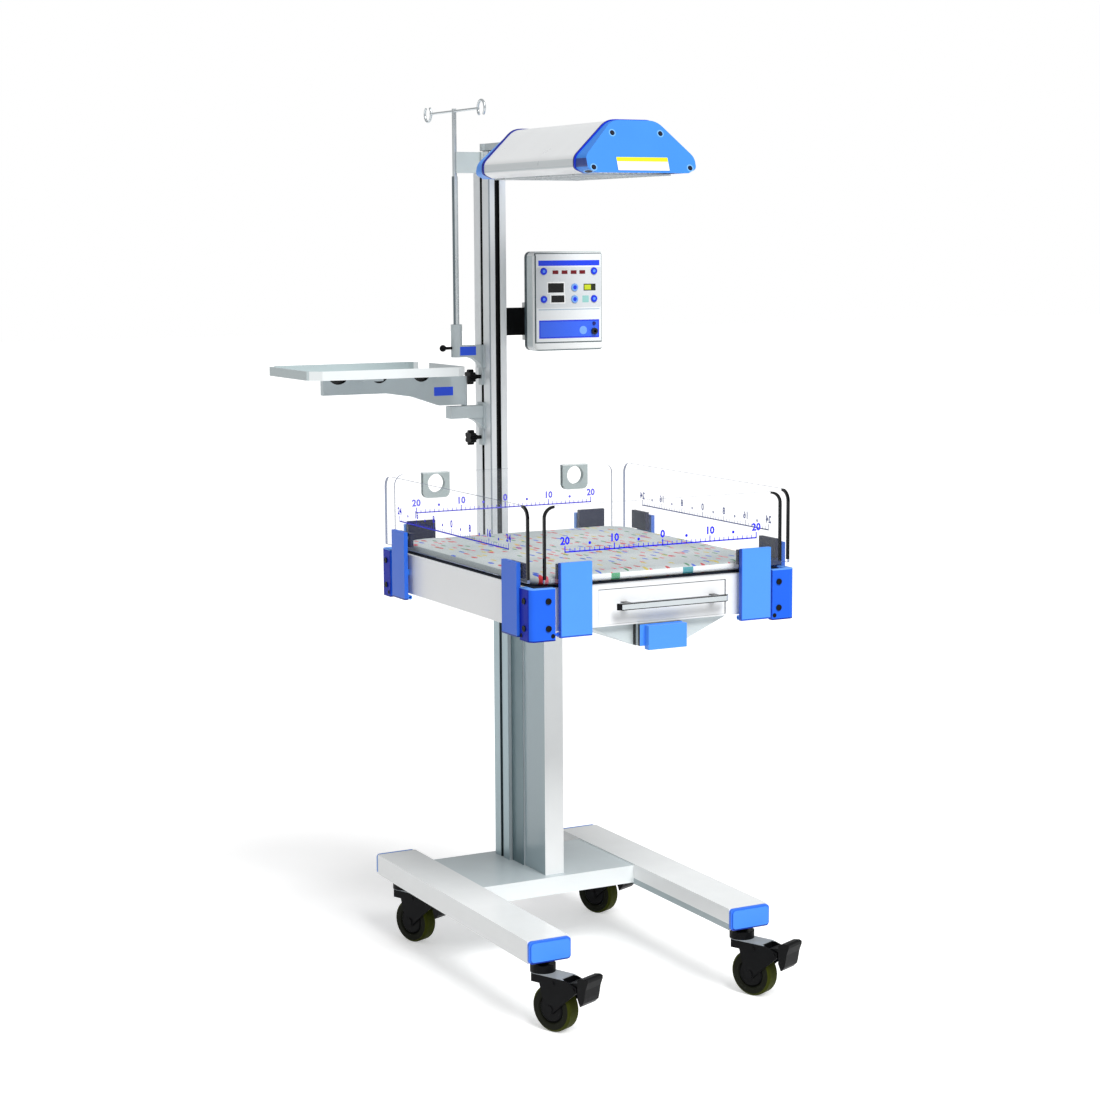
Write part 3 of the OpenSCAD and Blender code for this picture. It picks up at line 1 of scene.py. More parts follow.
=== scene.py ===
"""Dressed model of an infant radiant warmer on a wheeled H base, in metres."""

import logging
import math
from dataclasses import dataclass, field
from enum import Enum
from typing import Callable, Optional

import bmesh
import bpy
from mathutils import Matrix, Vector


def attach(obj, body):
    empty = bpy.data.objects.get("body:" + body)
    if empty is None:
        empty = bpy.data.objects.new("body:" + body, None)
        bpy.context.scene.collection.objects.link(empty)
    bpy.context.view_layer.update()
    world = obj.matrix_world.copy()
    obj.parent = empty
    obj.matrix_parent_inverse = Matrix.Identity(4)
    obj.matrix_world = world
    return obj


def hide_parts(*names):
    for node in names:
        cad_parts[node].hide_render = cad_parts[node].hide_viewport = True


LOG = logging.getLogger("warmer")
Colour = tuple[float, float, float]
Point = tuple[float, float, float]
Span = tuple[float, float]
FAR = 9.0
ANYWHERE: Span = (-FAR, FAR)
CASTER_HEADING = math.radians(-66.4)
CASTERS: dict[str, Point] = {
    "fl": (-0.216, -0.248, 0.0),
    "fr": (0.216, -0.248, 0.0),
    "rl": (-0.216, 0.378, 0.0),
    "rr": (0.216, 0.378, 0.0),
}


def srgb(r: int, g: int, b: int) -> Colour:
    """Linear colour of an eight-bit display colour.

    Args:
        r: Red, 0 to 255.
        g: Green, 0 to 255.
        b: Blue, 0 to 255.

    Returns:
        The colour as linear light.
    """
    def lin(v: int) -> float:
        """One channel as linear light."""
        c = v / 255.0
        return c / 12.92 if c <= 0.04045 else ((c + 0.055) / 1.055) ** 2.4

    return (lin(r), lin(g), lin(b))


def below(limit: float) -> Span:
    """Everything up to a limit along one axis."""
    return (-FAR, limit)


def above(limit: float) -> Span:
    """Everything from a limit on along one axis."""
    return (limit, FAR)


class Grain(Enum):
    """How a surface breaks up the light."""

    POWDER = "powder"
    MOULDED = "moulded"
    BRUSHED_X = "brushed_x"
    BRUSHED_Z = "brushed_z"
    SMOOTH = "smooth"
    RUBBER = "rubber"


@dataclass(frozen=True)
class Relief:
    """The fine relief of a grain: a stretched noise and the depth of its bump."""

    stretch: Point
    scale: float
    strength: float
    distance: float


RELIEFS: dict[Grain, Relief] = {
    Grain.POWDER: Relief((1, 1, 1), scale=900.0, strength=0.12, distance=0.0002),
    Grain.MOULDED: Relief((1, 1, 1), scale=1400.0, strength=0.10, distance=0.00015),
    Grain.BRUSHED_X: Relief((4, 600, 600), scale=1.0, strength=0.10, distance=0.0001),
    Grain.BRUSHED_Z: Relief((600, 600, 4), scale=1.0, strength=0.10, distance=0.0001),
    Grain.SMOOTH: Relief((1, 1, 1), scale=60.0, strength=0.02, distance=0.0001),
    Grain.RUBBER: Relief((1, 1, 1), scale=700.0, strength=0.25, distance=0.0003),
}


@dataclass(frozen=True)
class Finish:
    """One finish: its colour, gloss and the fine relief on it."""

    name: str
    colour: Colour
    rough: float = 0.4
    metallic: float = 0.0
    grain: Grain = Grain.MOULDED
    vary: float = 0.05
    coat: float = 0.0
    alpha: float = 1.0
    flat: Optional[Point] = None
    edge: Colour = (0.0, 0.0, 0.0)
    edge_alpha: float = 0.9
    spec: float = 0.5


@dataclass(frozen=True)
class Zone:
    """A painted region of a surface, inside a box or round an axis."""

    part: str
    colour: Colour
    x: Span = ANYWHERE
    y: Span = ANYWHERE
    z: Span = ANYWHERE
    axis_point: Optional[Point] = None
    axis: Point = (0.0, 0.0, 1.0)
    radius: float = 0.0
    outside: bool = False
    rough: Optional[float] = None
    alpha: Optional[float] = None


WHITE_PAINT = Finish("white_powder_coat", srgb(246, 248, 248), rough=0.2, grain=Grain.POWDER,
                     vary=0.02)
# The base plate's white paint, painted grey on top as the shade and reflection of the column.
PLATE_PAINT_SHADED = Finish("plate_white_paint_shaded", srgb(208, 218, 221), rough=0.24, grain=Grain.POWDER,
                     vary=0.02)
FRAME_PAINT = Finish("frame_white_paint", srgb(247, 249, 250), rough=0.3, grain=Grain.POWDER,
                     vary=0.02)
PAN_GREY = Finish("pan_pale_grey", srgb(214, 224, 226), rough=0.5, vary=0.03)
CAP_BLUE = Finish("cap_royal_blue", srgb(56, 122, 242), rough=0.36, vary=0.05, spec=0.3)
BLOCK_BLUE = Finish("corner_block_blue", srgb(36, 104, 240), rough=0.45, vary=0.05, spec=0.12)
CLAMP_BLUE = Finish("clamp_sky_blue", srgb(80, 154, 254), rough=0.38, vary=0.03, spec=0.3)
HEAD_BLUE = Finish("head_cap_blue", srgb(62, 142, 240), rough=0.4, vary=0.03, spec=0.25)
ANODISED = Finish("anodised_extrusion", srgb(206, 213, 216), rough=0.36, metallic=0.4,
                  grain=Grain.BRUSHED_Z, vary=0.05)
MAST_ALU = Finish("mast_extrusion", srgb(238, 242, 244), rough=0.34, metallic=0.25,
                  grain=Grain.BRUSHED_Z, vary=0.04)
BEAM_GREY = Finish("tray_beam_grey", srgb(190, 201, 205), rough=0.42, metallic=0.15,
                   grain=Grain.BRUSHED_X, vary=0.05)
BRACKET_GREY = Finish("bracket_grey_paint", srgb(196, 206, 209), rough=0.42, metallic=0.1,
                      grain=Grain.POWDER, vary=0.05)
STEEL = Finish("brushed_steel", srgb(206, 213, 216), rough=0.28, metallic=0.7,
               grain=Grain.BRUSHED_Z, vary=0.05)
BRIGHT_STEEL = Finish("bright_steel", srgb(212, 218, 221), rough=0.2, metallic=0.9,
                      grain=Grain.SMOOTH, vary=0.04)
TRAY_GREY = Finish("tray_moulding", srgb(232, 237, 238), rough=0.42, vary=0.03)
BLACK_STEEL = Finish("black_coated_steel", srgb(9, 10, 12), rough=0.5, metallic=0.0,
                     grain=Grain.POWDER, vary=0.15, spec=0.1)
TREAD = Finish("olive_tread", srgb(60, 66, 12), rough=0.65, grain=Grain.RUBBER, vary=0.2, spec=0.08)
BLACK_NYLON = Finish("black_nylon", srgb(8, 9, 11), rough=0.45, vary=0.2, spec=0.12)
GASKET = Finish("dark_deck_edge", srgb(20, 26, 40), rough=0.6, grain=Grain.RUBBER, vary=0.15,
                spec=0.2)
ACRYLIC_Y = Finish("clear_acrylic_across", srgb(236, 244, 250), rough=0.06, grain=Grain.SMOOTH,
                   vary=0.01, alpha=0.035, flat=(0.0, 1.0, 0.0), edge=srgb(112, 126, 160),
                   edge_alpha=0.85, spec=0.2)
ACRYLIC_X = Finish("clear_acrylic_along", srgb(236, 244, 250), rough=0.06, grain=Grain.SMOOTH,
                   vary=0.01, alpha=0.035, flat=(1.0, 0.0, 0.0), edge=srgb(112, 126, 160),
                   edge_alpha=0.85, spec=0.2)
PORT_RUBBER = Finish("port_grey_rubber", srgb(178, 190, 190), rough=0.6, grain=Grain.RUBBER,
                     vary=0.08)
QUARTZ = Finish("quartz_heater", srgb(214, 150, 120), rough=0.2, grain=Grain.SMOOTH, vary=0.1,
                coat=0.5)
BOX_WHITE = Finish("box_white_moulding", srgb(242, 245, 245), rough=0.34, vary=0.02)
FACE_WHITE = Finish("control_foil", srgb(236, 240, 242), rough=0.3, vary=0.02)
KEY_BLUE = Finish("key_blue", srgb(14, 52, 222), rough=0.3, vary=0.05, spec=0.4)
KEY_LIGHT = Finish("key_light_blue", srgb(120, 170, 240), rough=0.3, vary=0.05, spec=0.4)
PRINT_BLUE = Finish("ruler_print", srgb(36, 38, 236), rough=0.5, vary=0.05, spec=0.2)
PRINT_PALE = Finish("ruler_print_rear", srgb(108, 104, 240), rough=0.5, vary=0.05, spec=0.2)
PRINT_GREY = Finish("ruler_print_right", srgb(112, 122, 190), rough=0.5, vary=0.05, spec=0.2)
SCREW_DARK = Finish("screw_black_oxide", srgb(3, 4, 10), rough=0.5, metallic=0.0,
                    grain=Grain.SMOOTH, vary=0.1, spec=0.2)
# Dark colours of painted shade: navy on the inner clamp plates, blue on the clamps' shaded edges, and
# black in slots, gaps, notches and round the drawer handle; the same black also draws the dark bands at
# the panels' ends.
SHADE_NAVY = srgb(5, 10, 50)
SHADE_AND_BAND_BLACK = srgb(6, 8, 12)
SHADED_EDGE_BLUE = srgb(36, 86, 205)


@dataclass
class Dresser:
    """Makes one node material for each finish and puts it on pieces."""

    made: dict[str, bpy.types.Material] = field(default_factory=dict)
    face_cosine: float = 0.7
    grain_detail: float = 3.0
    cloud_scale: float = 14.0
    cloud_detail: float = 4.0
    cloud_ends: Span = (0.3, 0.7)
    brighter: float = 0.4
    rough_swing: float = 0.12
    coat_rough: float = 0.12

    def math(self, tree: bpy.types.NodeTree, op: str, *values: object) -> bpy.types.NodeSocket:
        """A Math node.

        Args:
            tree: The material's node tree.
            op: The Math node's operation.
            values: Sockets or numbers for its inputs.

        Returns:
            The node's output socket.
        """
        node = tree.nodes.new("ShaderNodeMath")
        node.operation = op
        for socket, value in zip(node.inputs, values):
            if isinstance(value, bpy.types.NodeSocket):
                tree.links.new(value, socket)
            else:
                socket.default_value = float(value)
        return node.outputs[0]

    def vector(self, tree: bpy.types.NodeTree, op: str, a: object, b: object = None) -> bpy.types.Node:
        """A Vector Math node.

        Args:
            tree: The material's node tree.
            op: The node's operation.
            a: First vector, a socket or three numbers.
            b: Second vector, if the operation has one.

        Returns:
            The node.
        """
        node = tree.nodes.new("ShaderNodeVectorMath")
        node.operation = op
        for socket, value in zip(node.inputs, (a, b)):
            if value is None:
                continue
            if isinstance(value, bpy.types.NodeSocket):
                tree.links.new(value, socket)
            else:
                socket.default_value = value
        return node

    def paint(self, tree: bpy.types.NodeTree, mask: bpy.types.NodeSocket, under: bpy.types.NodeSocket,
              over: Colour, part: str) -> bpy.types.NodeSocket:
        """Lay one colour over another where a mask is 1.

        Args:
            tree: The material's node tree.
            mask: Where the upper colour lies.
            under: The lower colour.
            over: The upper colour.
            part: What the upper colour is, for the node's label.

        Returns:
            The mixed colour.
        """
        mix = tree.nodes.new("ShaderNodeMix")
        mix.label = part
        mix.data_type = "RGBA"
        tree.links.new(mask, mix.inputs["Factor"])
        tree.links.new(under, mix.inputs[6])
        mix.inputs[7].default_value = (*over, 1.0)
        return mix.outputs[2]

    def zone_mask(self, tree: bpy.types.NodeTree, place: bpy.types.NodeSocket,
                  zone: Zone) -> bpy.types.NodeSocket:
        """Where a zone's colour lies.

        Args:
            tree: The material's node tree.
            place: Object coordinates.
            zone: The painted region.

        Returns:
            A socket that is 1 inside the zone and 0 elsewhere.
        """
        parts: list[bpy.types.NodeSocket] = []
        split = tree.nodes.new("ShaderNodeSeparateXYZ")
        tree.links.new(place, split.inputs[0])
        for (low, high), output in zip((zone.x, zone.y, zone.z), split.outputs):
            if (low, high) != ANYWHERE:
                parts.append(self.math(tree, "COMPARE", output, (low + high) / 2, (high - low) / 2))
        if zone.axis_point is not None:
            away = self.vector(tree, "SUBTRACT", place, zone.axis_point).outputs[0]
            axis = Vector(zone.axis).normalized()
            cross = self.vector(tree, "CROSS_PRODUCT", away, tuple(axis)).outputs[0]
            radius = self.vector(tree, "LENGTH", cross).outputs["Value"]
            op = "GREATER_THAN" if zone.outside else "LESS_THAN"
            parts.append(self.math(tree, op, radius, zone.radius))
        mask = parts[0]
        for part in parts[1:]:
            mask = self.math(tree, "MULTIPLY", mask, part)
        return mask

    def edge_mask(self, tree: bpy.types.NodeTree, flat: Point) -> bpy.types.NodeSocket:
        """Where a sheet's surface is its edge and not one of its two faces.

        Args:
            tree: The material's node tree.
            flat: The way the sheet's faces look.

        Returns:
            A socket that is 1 on the edge.
        """
        normal = tree.nodes.new("ShaderNodeNewGeometry").outputs["Normal"]
        turn = tree.nodes.new("ShaderNodeVectorTransform")
        turn.vector_type = "NORMAL"
        turn.convert_from = "WORLD"
        turn.convert_to = "OBJECT"
        tree.links.new(normal, turn.inputs[0])
        facing = self.vector(tree, "DOT_PRODUCT", turn.outputs[0], flat).outputs["Value"]
        return self.math(tree, "LESS_THAN", self.math(tree, "ABSOLUTE", facing), self.face_cosine)

    def relief(self, tree: bpy.types.NodeTree, place: bpy.types.NodeSocket,
               grain: Grain) -> tuple[bpy.types.NodeSocket, float, float]:
        """Fine relief for a grain.

        Args:
            tree: The material's node tree.
            place: Object coordinates.
            grain: The kind of surface.

        Returns:
            The height socket, the bump's strength and its distance.
        """
        relief = RELIEFS[grain]
        mapping = tree.nodes.new("ShaderNodeMapping")
        mapping.inputs["Scale"].default_value = relief.stretch
        tree.links.new(place, mapping.inputs["Vector"])
        noise = tree.nodes.new("ShaderNodeTexNoise")
        noise.inputs["Scale"].default_value = relief.scale
        noise.inputs["Detail"].default_value = self.grain_detail
        tree.links.new(mapping.outputs[0], noise.inputs["Vector"])
        return noise.outputs["Fac"], relief.strength, relief.distance

    def material(self, finish: Finish, zones: tuple[Zone, ...] = (),
                 name: str = "") -> bpy.types.Material:
        """The node material of a finish, with painted zones.

        Args:
            finish: The finish.
            zones: Painted regions, later ones over earlier ones.
            name: A name of its own, where the zones are a piece's own.

        Returns:
            The material.
        """
        key = name or finish.name
        if key in self.made:
            return self.made[key]
        mat = bpy.data.materials.new(key)
        mat.use_nodes = True
        tree = mat.node_tree
        tree.nodes.clear()
        out = tree.nodes.new("ShaderNodeOutputMaterial")
        shader = tree.nodes.new("ShaderNodeBsdfPrincipled")
        tree.links.new(shader.outputs[0], out.inputs[0])
        place = tree.nodes.new("ShaderNodeTexCoord").outputs["Object"]
        cloud = tree.nodes.new("ShaderNodeTexNoise")
        cloud.inputs["Scale"].default_value = self.cloud_scale
        cloud.inputs["Detail"].default_value = self.cloud_detail
        tree.links.new(place, cloud.inputs["Vector"])
        ramp = tree.nodes.new("ShaderNodeValToRGB")
        gains = (1 - finish.vary, 1 + finish.vary * self.brighter)
        for element, gain, end in zip(ramp.color_ramp.elements, gains, self.cloud_ends):
            element.position = end
            element.color = (*[min(1.0, c * gain) for c in finish.colour], 1.0)
        tree.links.new(cloud.outputs["Fac"], ramp.inputs["Fac"])
        colour = ramp.outputs["Color"]
        lowest = max(0.0, finish.rough - self.rough_swing / 2)
        rough = self.math(tree, "MULTIPLY_ADD", cloud.outputs["Fac"], self.rough_swing, lowest)
        if finish.flat is not None:
            edge = self.edge_mask(tree, finish.flat)
            colour = self.paint(tree, edge, colour, finish.edge, "sheet edge")
        for zone in zones:
            mask = self.zone_mask(tree, place, zone)
            colour = self.paint(tree, mask, colour, zone.colour, zone.part)
            if zone.rough is not None:
                blend = tree.nodes.new("ShaderNodeMix")
                blend.data_type = "FLOAT"
                tree.links.new(mask, blend.inputs["Factor"])
                tree.links.new(rough, blend.inputs[2])
                blend.inputs[3].default_value = zone.rough
                rough = blend.outputs[0]
        if finish.flat is not None:
            gain = finish.edge_alpha - finish.alpha
            alpha = self.math(tree, "MULTIPLY_ADD", edge, gain, finish.alpha)
            for zone in zones:
                if zone.alpha is not None:
                    printed = self.math(tree, "MULTIPLY", self.zone_mask(tree, place, zone), zone.alpha)
                    alpha = self.math(tree, "MAXIMUM", alpha, printed)
            tree.links.new(alpha, shader.inputs["Alpha"])
        tree.links.new(colour, shader.inputs["Base Color"])
        tree.links.new(rough, shader.inputs["Roughness"])
        shader.inputs["Metallic"].default_value = finish.metallic
        shader.inputs["Coat Weight"].default_value = finish.coat
        shader.inputs["Specular IOR Level"].default_value = finish.spec
        shader.inputs["Coat Roughness"].default_value = self.coat_rough
        height, strength, distance = self.relief(tree, place, finish.grain)
        bump = tree.nodes.new("ShaderNodeBump")
        bump.inputs["Strength"].default_value = strength
        bump.inputs["Distance"].default_value = distance
        tree.links.new(height, bump.inputs["Height"])
        tree.links.new(bump.outputs[0], shader.inputs["Normal"])
        self.made[key] = mat
        return mat

    def dress(self, obj: bpy.types.Object, finish: Finish,
              zones: tuple[Zone, ...] = ()) -> bpy.types.Object:
        """Put a finish on a piece or a carried-over node.

        Args:
            obj: The object.
            finish: Its finish.
            zones: Painted regions of this piece.

        Returns:
            The same object.
        """
        name = f"{finish.name}_{obj.name}" if zones else ""
        mat = self.material(finish, zones, name)
        if obj.material_slots:
            for item in obj.material_slots:
                item.material = mat
        else:
            obj.data.materials.append(mat)
        return obj


DRESSER = Dresser()


def piece(name: str, build: Callable[[bmesh.types.BMesh], None], body: str, finish: Finish,
          zones: tuple[Zone, ...] = (), smooth: bool = False) -> bpy.types.Object:
    """A new object shaped in a bmesh, dressed and riding on a body.

    Args:
        name: The object's name.
        build: Shapes the bmesh, in metres and in place.
        body: The body it rides on.
        finish: Its finish.
        zones: Painted regions.
        smooth: Whether its faces are shaded smooth.

    Returns:
        The object.
    """
    mesh = bpy.data.meshes.new(name)
    bm = bmesh.new()
    build(bm)
    bmesh.ops.recalc_face_normals(bm, faces=bm.faces)
    for face in bm.faces:
        face.smooth = smooth
    bm.to_mesh(mesh)
    bm.free()
    obj = bpy.data.objects.new(name, mesh)
    bpy.context.scene.collection.objects.link(obj)
    DRESSER.dress(obj, finish, zones)
    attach(obj, body)
    return obj


@dataclass(frozen=True)
class ScrewHead:
    """A short round head with a sunk socket."""

    proud: float
    radius: float
    depth: float
    sides: int = 24
    socket: float = 0.5
    sunk: float = 0.0005
    socket_draft: float = 0.02

    def add(self, bm: bmesh.types.BMesh, centre: Point, axis: Vector) -> None:
        """Add one head.

        Args:
            bm: The bmesh.
            centre: The middle of its outer face.
            axis: The way its outer face looks.
        """
        head = bmesh.new()
        bmesh.ops.create_cone(head, cap_ends=True, segments=self.sides, radius1=self.radius,
                              radius2=self.radius, depth=self.depth)
        top = [f for f in head.faces if f.normal.z > 0.9]
        bmesh.ops.inset_region(head, faces=top, thickness=self.radius * (1 - self.socket), depth=0)
        draft = self.radius * self.socket_draft
        bmesh.ops.inset_region(head, faces=top, thickness=draft, depth=-self.sunk)
        turn = axis.normalized().to_track_quat("Z", "Y").to_matrix().to_4x4()
        place = Matrix.Translation(Vector(centre) - axis.normalized() * (self.depth / 2)) @ turn
        bmesh.ops.transform(head, matrix=place, verts=head.verts)
        mesh = bpy.data.meshes.new("head")
        head.to_mesh(mesh)
        head.free()
        bm.from_mesh(mesh)
        bpy.data.meshes.remove(mesh)


@dataclass
class Caster:
    """One braked caster: fork, wheel and pedal."""

    tag: str
    place: Point
    trail: float = 0.030
    hub_radius: float = 0.0265
    wheel_radius: float = 0.044
    tyre_side: float = 0.0395
    washer: Span = (0.1055, 0.1075)

    def along(self, forward: float, side: float, height: float) -> Point:
        """A point of the caster in the row frame.

        Args:
            forward: Distance along its heading.
            side: Distance along its axle.
            height: Height above the floor.

        Returns:
            The point.
        """
        u = Vector((math.cos(CASTER_HEADING), math.sin(CASTER_HEADING), 0))
        n = Vector((-math.sin(CASTER_HEADING), math.cos(CASTER_HEADING), 0))
        return tuple(Vector(self.place) + u * forward + n * side + Vector((0, 0, height)))

    def dress(self) -> None:
        """Finish the fork, wheel and pedal."""
        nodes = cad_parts
        axle = Vector((-math.sin(CASTER_HEADING), math.cos(CASTER_HEADING), 0))
        hub = self.along(self.trail, 0, self.wheel_radius)
        DRESSER.dress(nodes[f"caster_wheel_{self.tag}"], TREAD, (
            Zone("side of the tyre", srgb(24, 26, 16), axis_point=hub, axis=tuple(axle),
                 radius=self.tyre_side, rough=0.5),
            Zone("hub", srgb(10, 11, 12), axis_point=hub, axis=tuple(axle),
                 radius=self.hub_radius, rough=0.35),
        ))
        DRESSER.dress(nodes[f"caster_fork_{self.tag}"], BLACK_STEEL, (
            Zone("bright washer", srgb(150, 156, 160), z=self.washer, rough=0.25),
        ))
        DRESSER.dress(nodes[f"brake_pedal_{self.tag}"], BLACK_NYLON)


@dataclass
class Base:
    """The H base with its end caps, columns and mast."""

    casters: list[Caster] = field(default_factory=lambda: [Caster(t, p) for t, p in CASTERS.items()])

    def dress(self) -> None:
        """Finish the base's nodes."""
        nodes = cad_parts
        DRESSER.dress(nodes["base_legs"], WHITE_PAINT, (
            # Painted shade on the inner side of the right leg, which faces away from the light.
            Zone("shaded inner side of the right leg", srgb(170, 184, 188), x=(0.1700, 0.1740), z=below(0.1440)),
        ))
        DRESSER.dress(nodes["base_plate"], PLATE_PAINT_SHADED, (
            # The front edge is painted the lit white, while the top keeps the painted shade.
            Zone("front edge", srgb(240, 245, 246), y=below(0.0985)),
        ))
        DRESSER.dress(nodes["leg_end_caps"], CAP_BLUE, (
            Zone("rear caps", srgb(104, 152, 226), y=above(0.3)),
            # Painted light: the front faces, which face the lamp, are a lighter blue than the rest of
            # the caps.
            Zone("lit front faces", srgb(72, 146, 250), y=below(-0.2790)),
            Zone("upper edge of the front caps", srgb(26, 70, 196), y=below(-0.2), z=(0.1295, 0.1355)),
        ))
        DRESSER.dress(nodes["rear_column"], ANODISED, (
            # Painted shade: the left side is darker, and the grooves in the sides are darker still.
            Zone("left side", srgb(164, 184, 190), x=below(-0.0325)),
            Zone("shaded grooves in the sides", srgb(70, 84, 90), x=(-0.0328, 0.0328), y=(0.2805, 0.2935)),
            Zone("line along the web", srgb(104, 126, 132), x=(-0.0256, -0.0244), y=(0.2, 0.2555)),
        ))
        DRESSER.dress(nodes["bed_column"], WHITE_PAINT, (
            # Painted shade on the left side of the white column.
            Zone("left side", srgb(160, 178, 184), x=below(-0.0208)),
        ))
        DRESSER.dress(nodes["mast_foot"], BRACKET_GREY)
        DRESSER.dress(nodes["mast"], MAST_ALU, (
            # Painted shade: grey where the front's left corner rounds away from the light, and black
            # inside the slots.
            Zone("left edge of the front", srgb(150, 160, 166), x=(-0.0200, -0.0165), y=below(0.3535)),
            Zone("shaded front slot", SHADE_AND_BAND_BLACK, x=(-0.0095, 0.0095), y=(0.3538, 0.3640), rough=0.6),
            Zone("shaded left slot", SHADE_AND_BAND_BLACK, x=(-0.0188, -0.0085), y=(0.3780, 0.3970), rough=0.6),
            Zone("shaded right slot", SHADE_AND_BAND_BLACK, x=(0.0085, 0.0188), y=(0.3780, 0.3970), rough=0.6),
        ))
        for caster in self.casters:
            caster.dress()
            LOG.info("caster %s", caster.tag)


@dataclass
class Bed:
    """The bed frame, its corner blocks, drawer, pan and deck."""

    block_x: float = 0.278
    block_y: float = 0.3285
    screw_x: float = 0.242
    screw_y: float = 0.305
    screw_heights: tuple[float, float] = (0.759, 0.808)
    hinge_x: float = 0.233
    hinge_y: float = 0.293
    hinge_z: float = 0.745
    screw: ScrewHead = ScrewHead(proud=0.0022, radius=0.0056, depth=0.0021)
    pin: ScrewHead = ScrewHead(proud=0.0008, radius=0.004, depth=0.001, sides=20, sunk=0.0006)

    def dress(self) -> None:
        """Finish the bed's nodes."""
        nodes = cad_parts
        DRESSER.dress(nodes["bed_frame"], FRAME_PAINT)
        DRESSER.dress(nodes["corner_blocks"], BLOCK_BLUE, (
            # Painted shade on the left sides and lower edges, and painted light on the tops.
            Zone("shaded left sides", srgb(8, 34, 176), x=below(-0.2772)),
            Zone("tops", srgb(110, 170, 255), z=above(0.8296)),
            Zone("shaded lower edges", srgb(18, 40, 150), z=below(0.7385)),
        ))
        DRESSER.dress(nodes["mattress_deck"], GASKET)
        DRESSER.dress(nodes["underbed_pan"], PAN_GREY)
        DRESSER.dress(nodes["drawer"], FRAME_PAINT, (
            # Painted shadow in the gap between the recessed drawer front and the frame at its right
            # end.
            Zone("shaded gap at the right end", SHADE_AND_BAND_BLACK, x=above(0.1322)),
        ))
        DRESSER.dress(nodes["drawer_handle"], STEEL, (
            # Painted shade round the recessed grip: black above and below the bar and at its left end.
            Zone("upper line", SHADE_AND_BAND_BLACK, z=above(0.7925)),
            Zone("lower line", SHADE_AND_BAND_BLACK, z=below(0.7835)),
            Zone("left end", SHADE_AND_BAND_BLACK, x=(-0.2, -0.099)),
        ))
        DRESSER.dress(nodes["tilt_handle"], CLAMP_BLUE, (
            Zone("neck", srgb(18, 20, 24), y=(-0.3251, -0.20)),
            Zone("bright ring on the neck", srgb(170, 180, 184), y=(-0.3185, -0.3105)),
        ))

    def screws(self) -> None:
        """Add the screw heads on the corner blocks, two on each face, and the hinge pins' heads."""
        spots = [(self.screw_x, self.screw_y, z, self.screw) for z in self.screw_heights]
        spots.append((self.hinge_x, self.hinge_y, self.hinge_z, self.pin))

        def build(bm: bmesh.types.BMesh) -> None:
            """Add all the heads.

            Args:
                bm: The bmesh.
            """
            for sx in (-1, 1):
                for sy in (-1, 1):
                    for x, y, z, head in spots:
                        head.add(bm, (sx * x, sy * (self.block_y + head.proud), z), Vector((0, sy, 0)))
                        head.add(bm, (sx * (self.block_x + head.proud), sy * y, z), Vector((sx, 0, 0)))
        piece("corner_screws", build, "base", SCREW_DARK)


@dataclass(frozen=True)
class Fleck:
    """One colour of the short strokes printed on the mattress cover."""

    ink: Colour
    scale: float
    shift: Point
    size: float
    turn: float


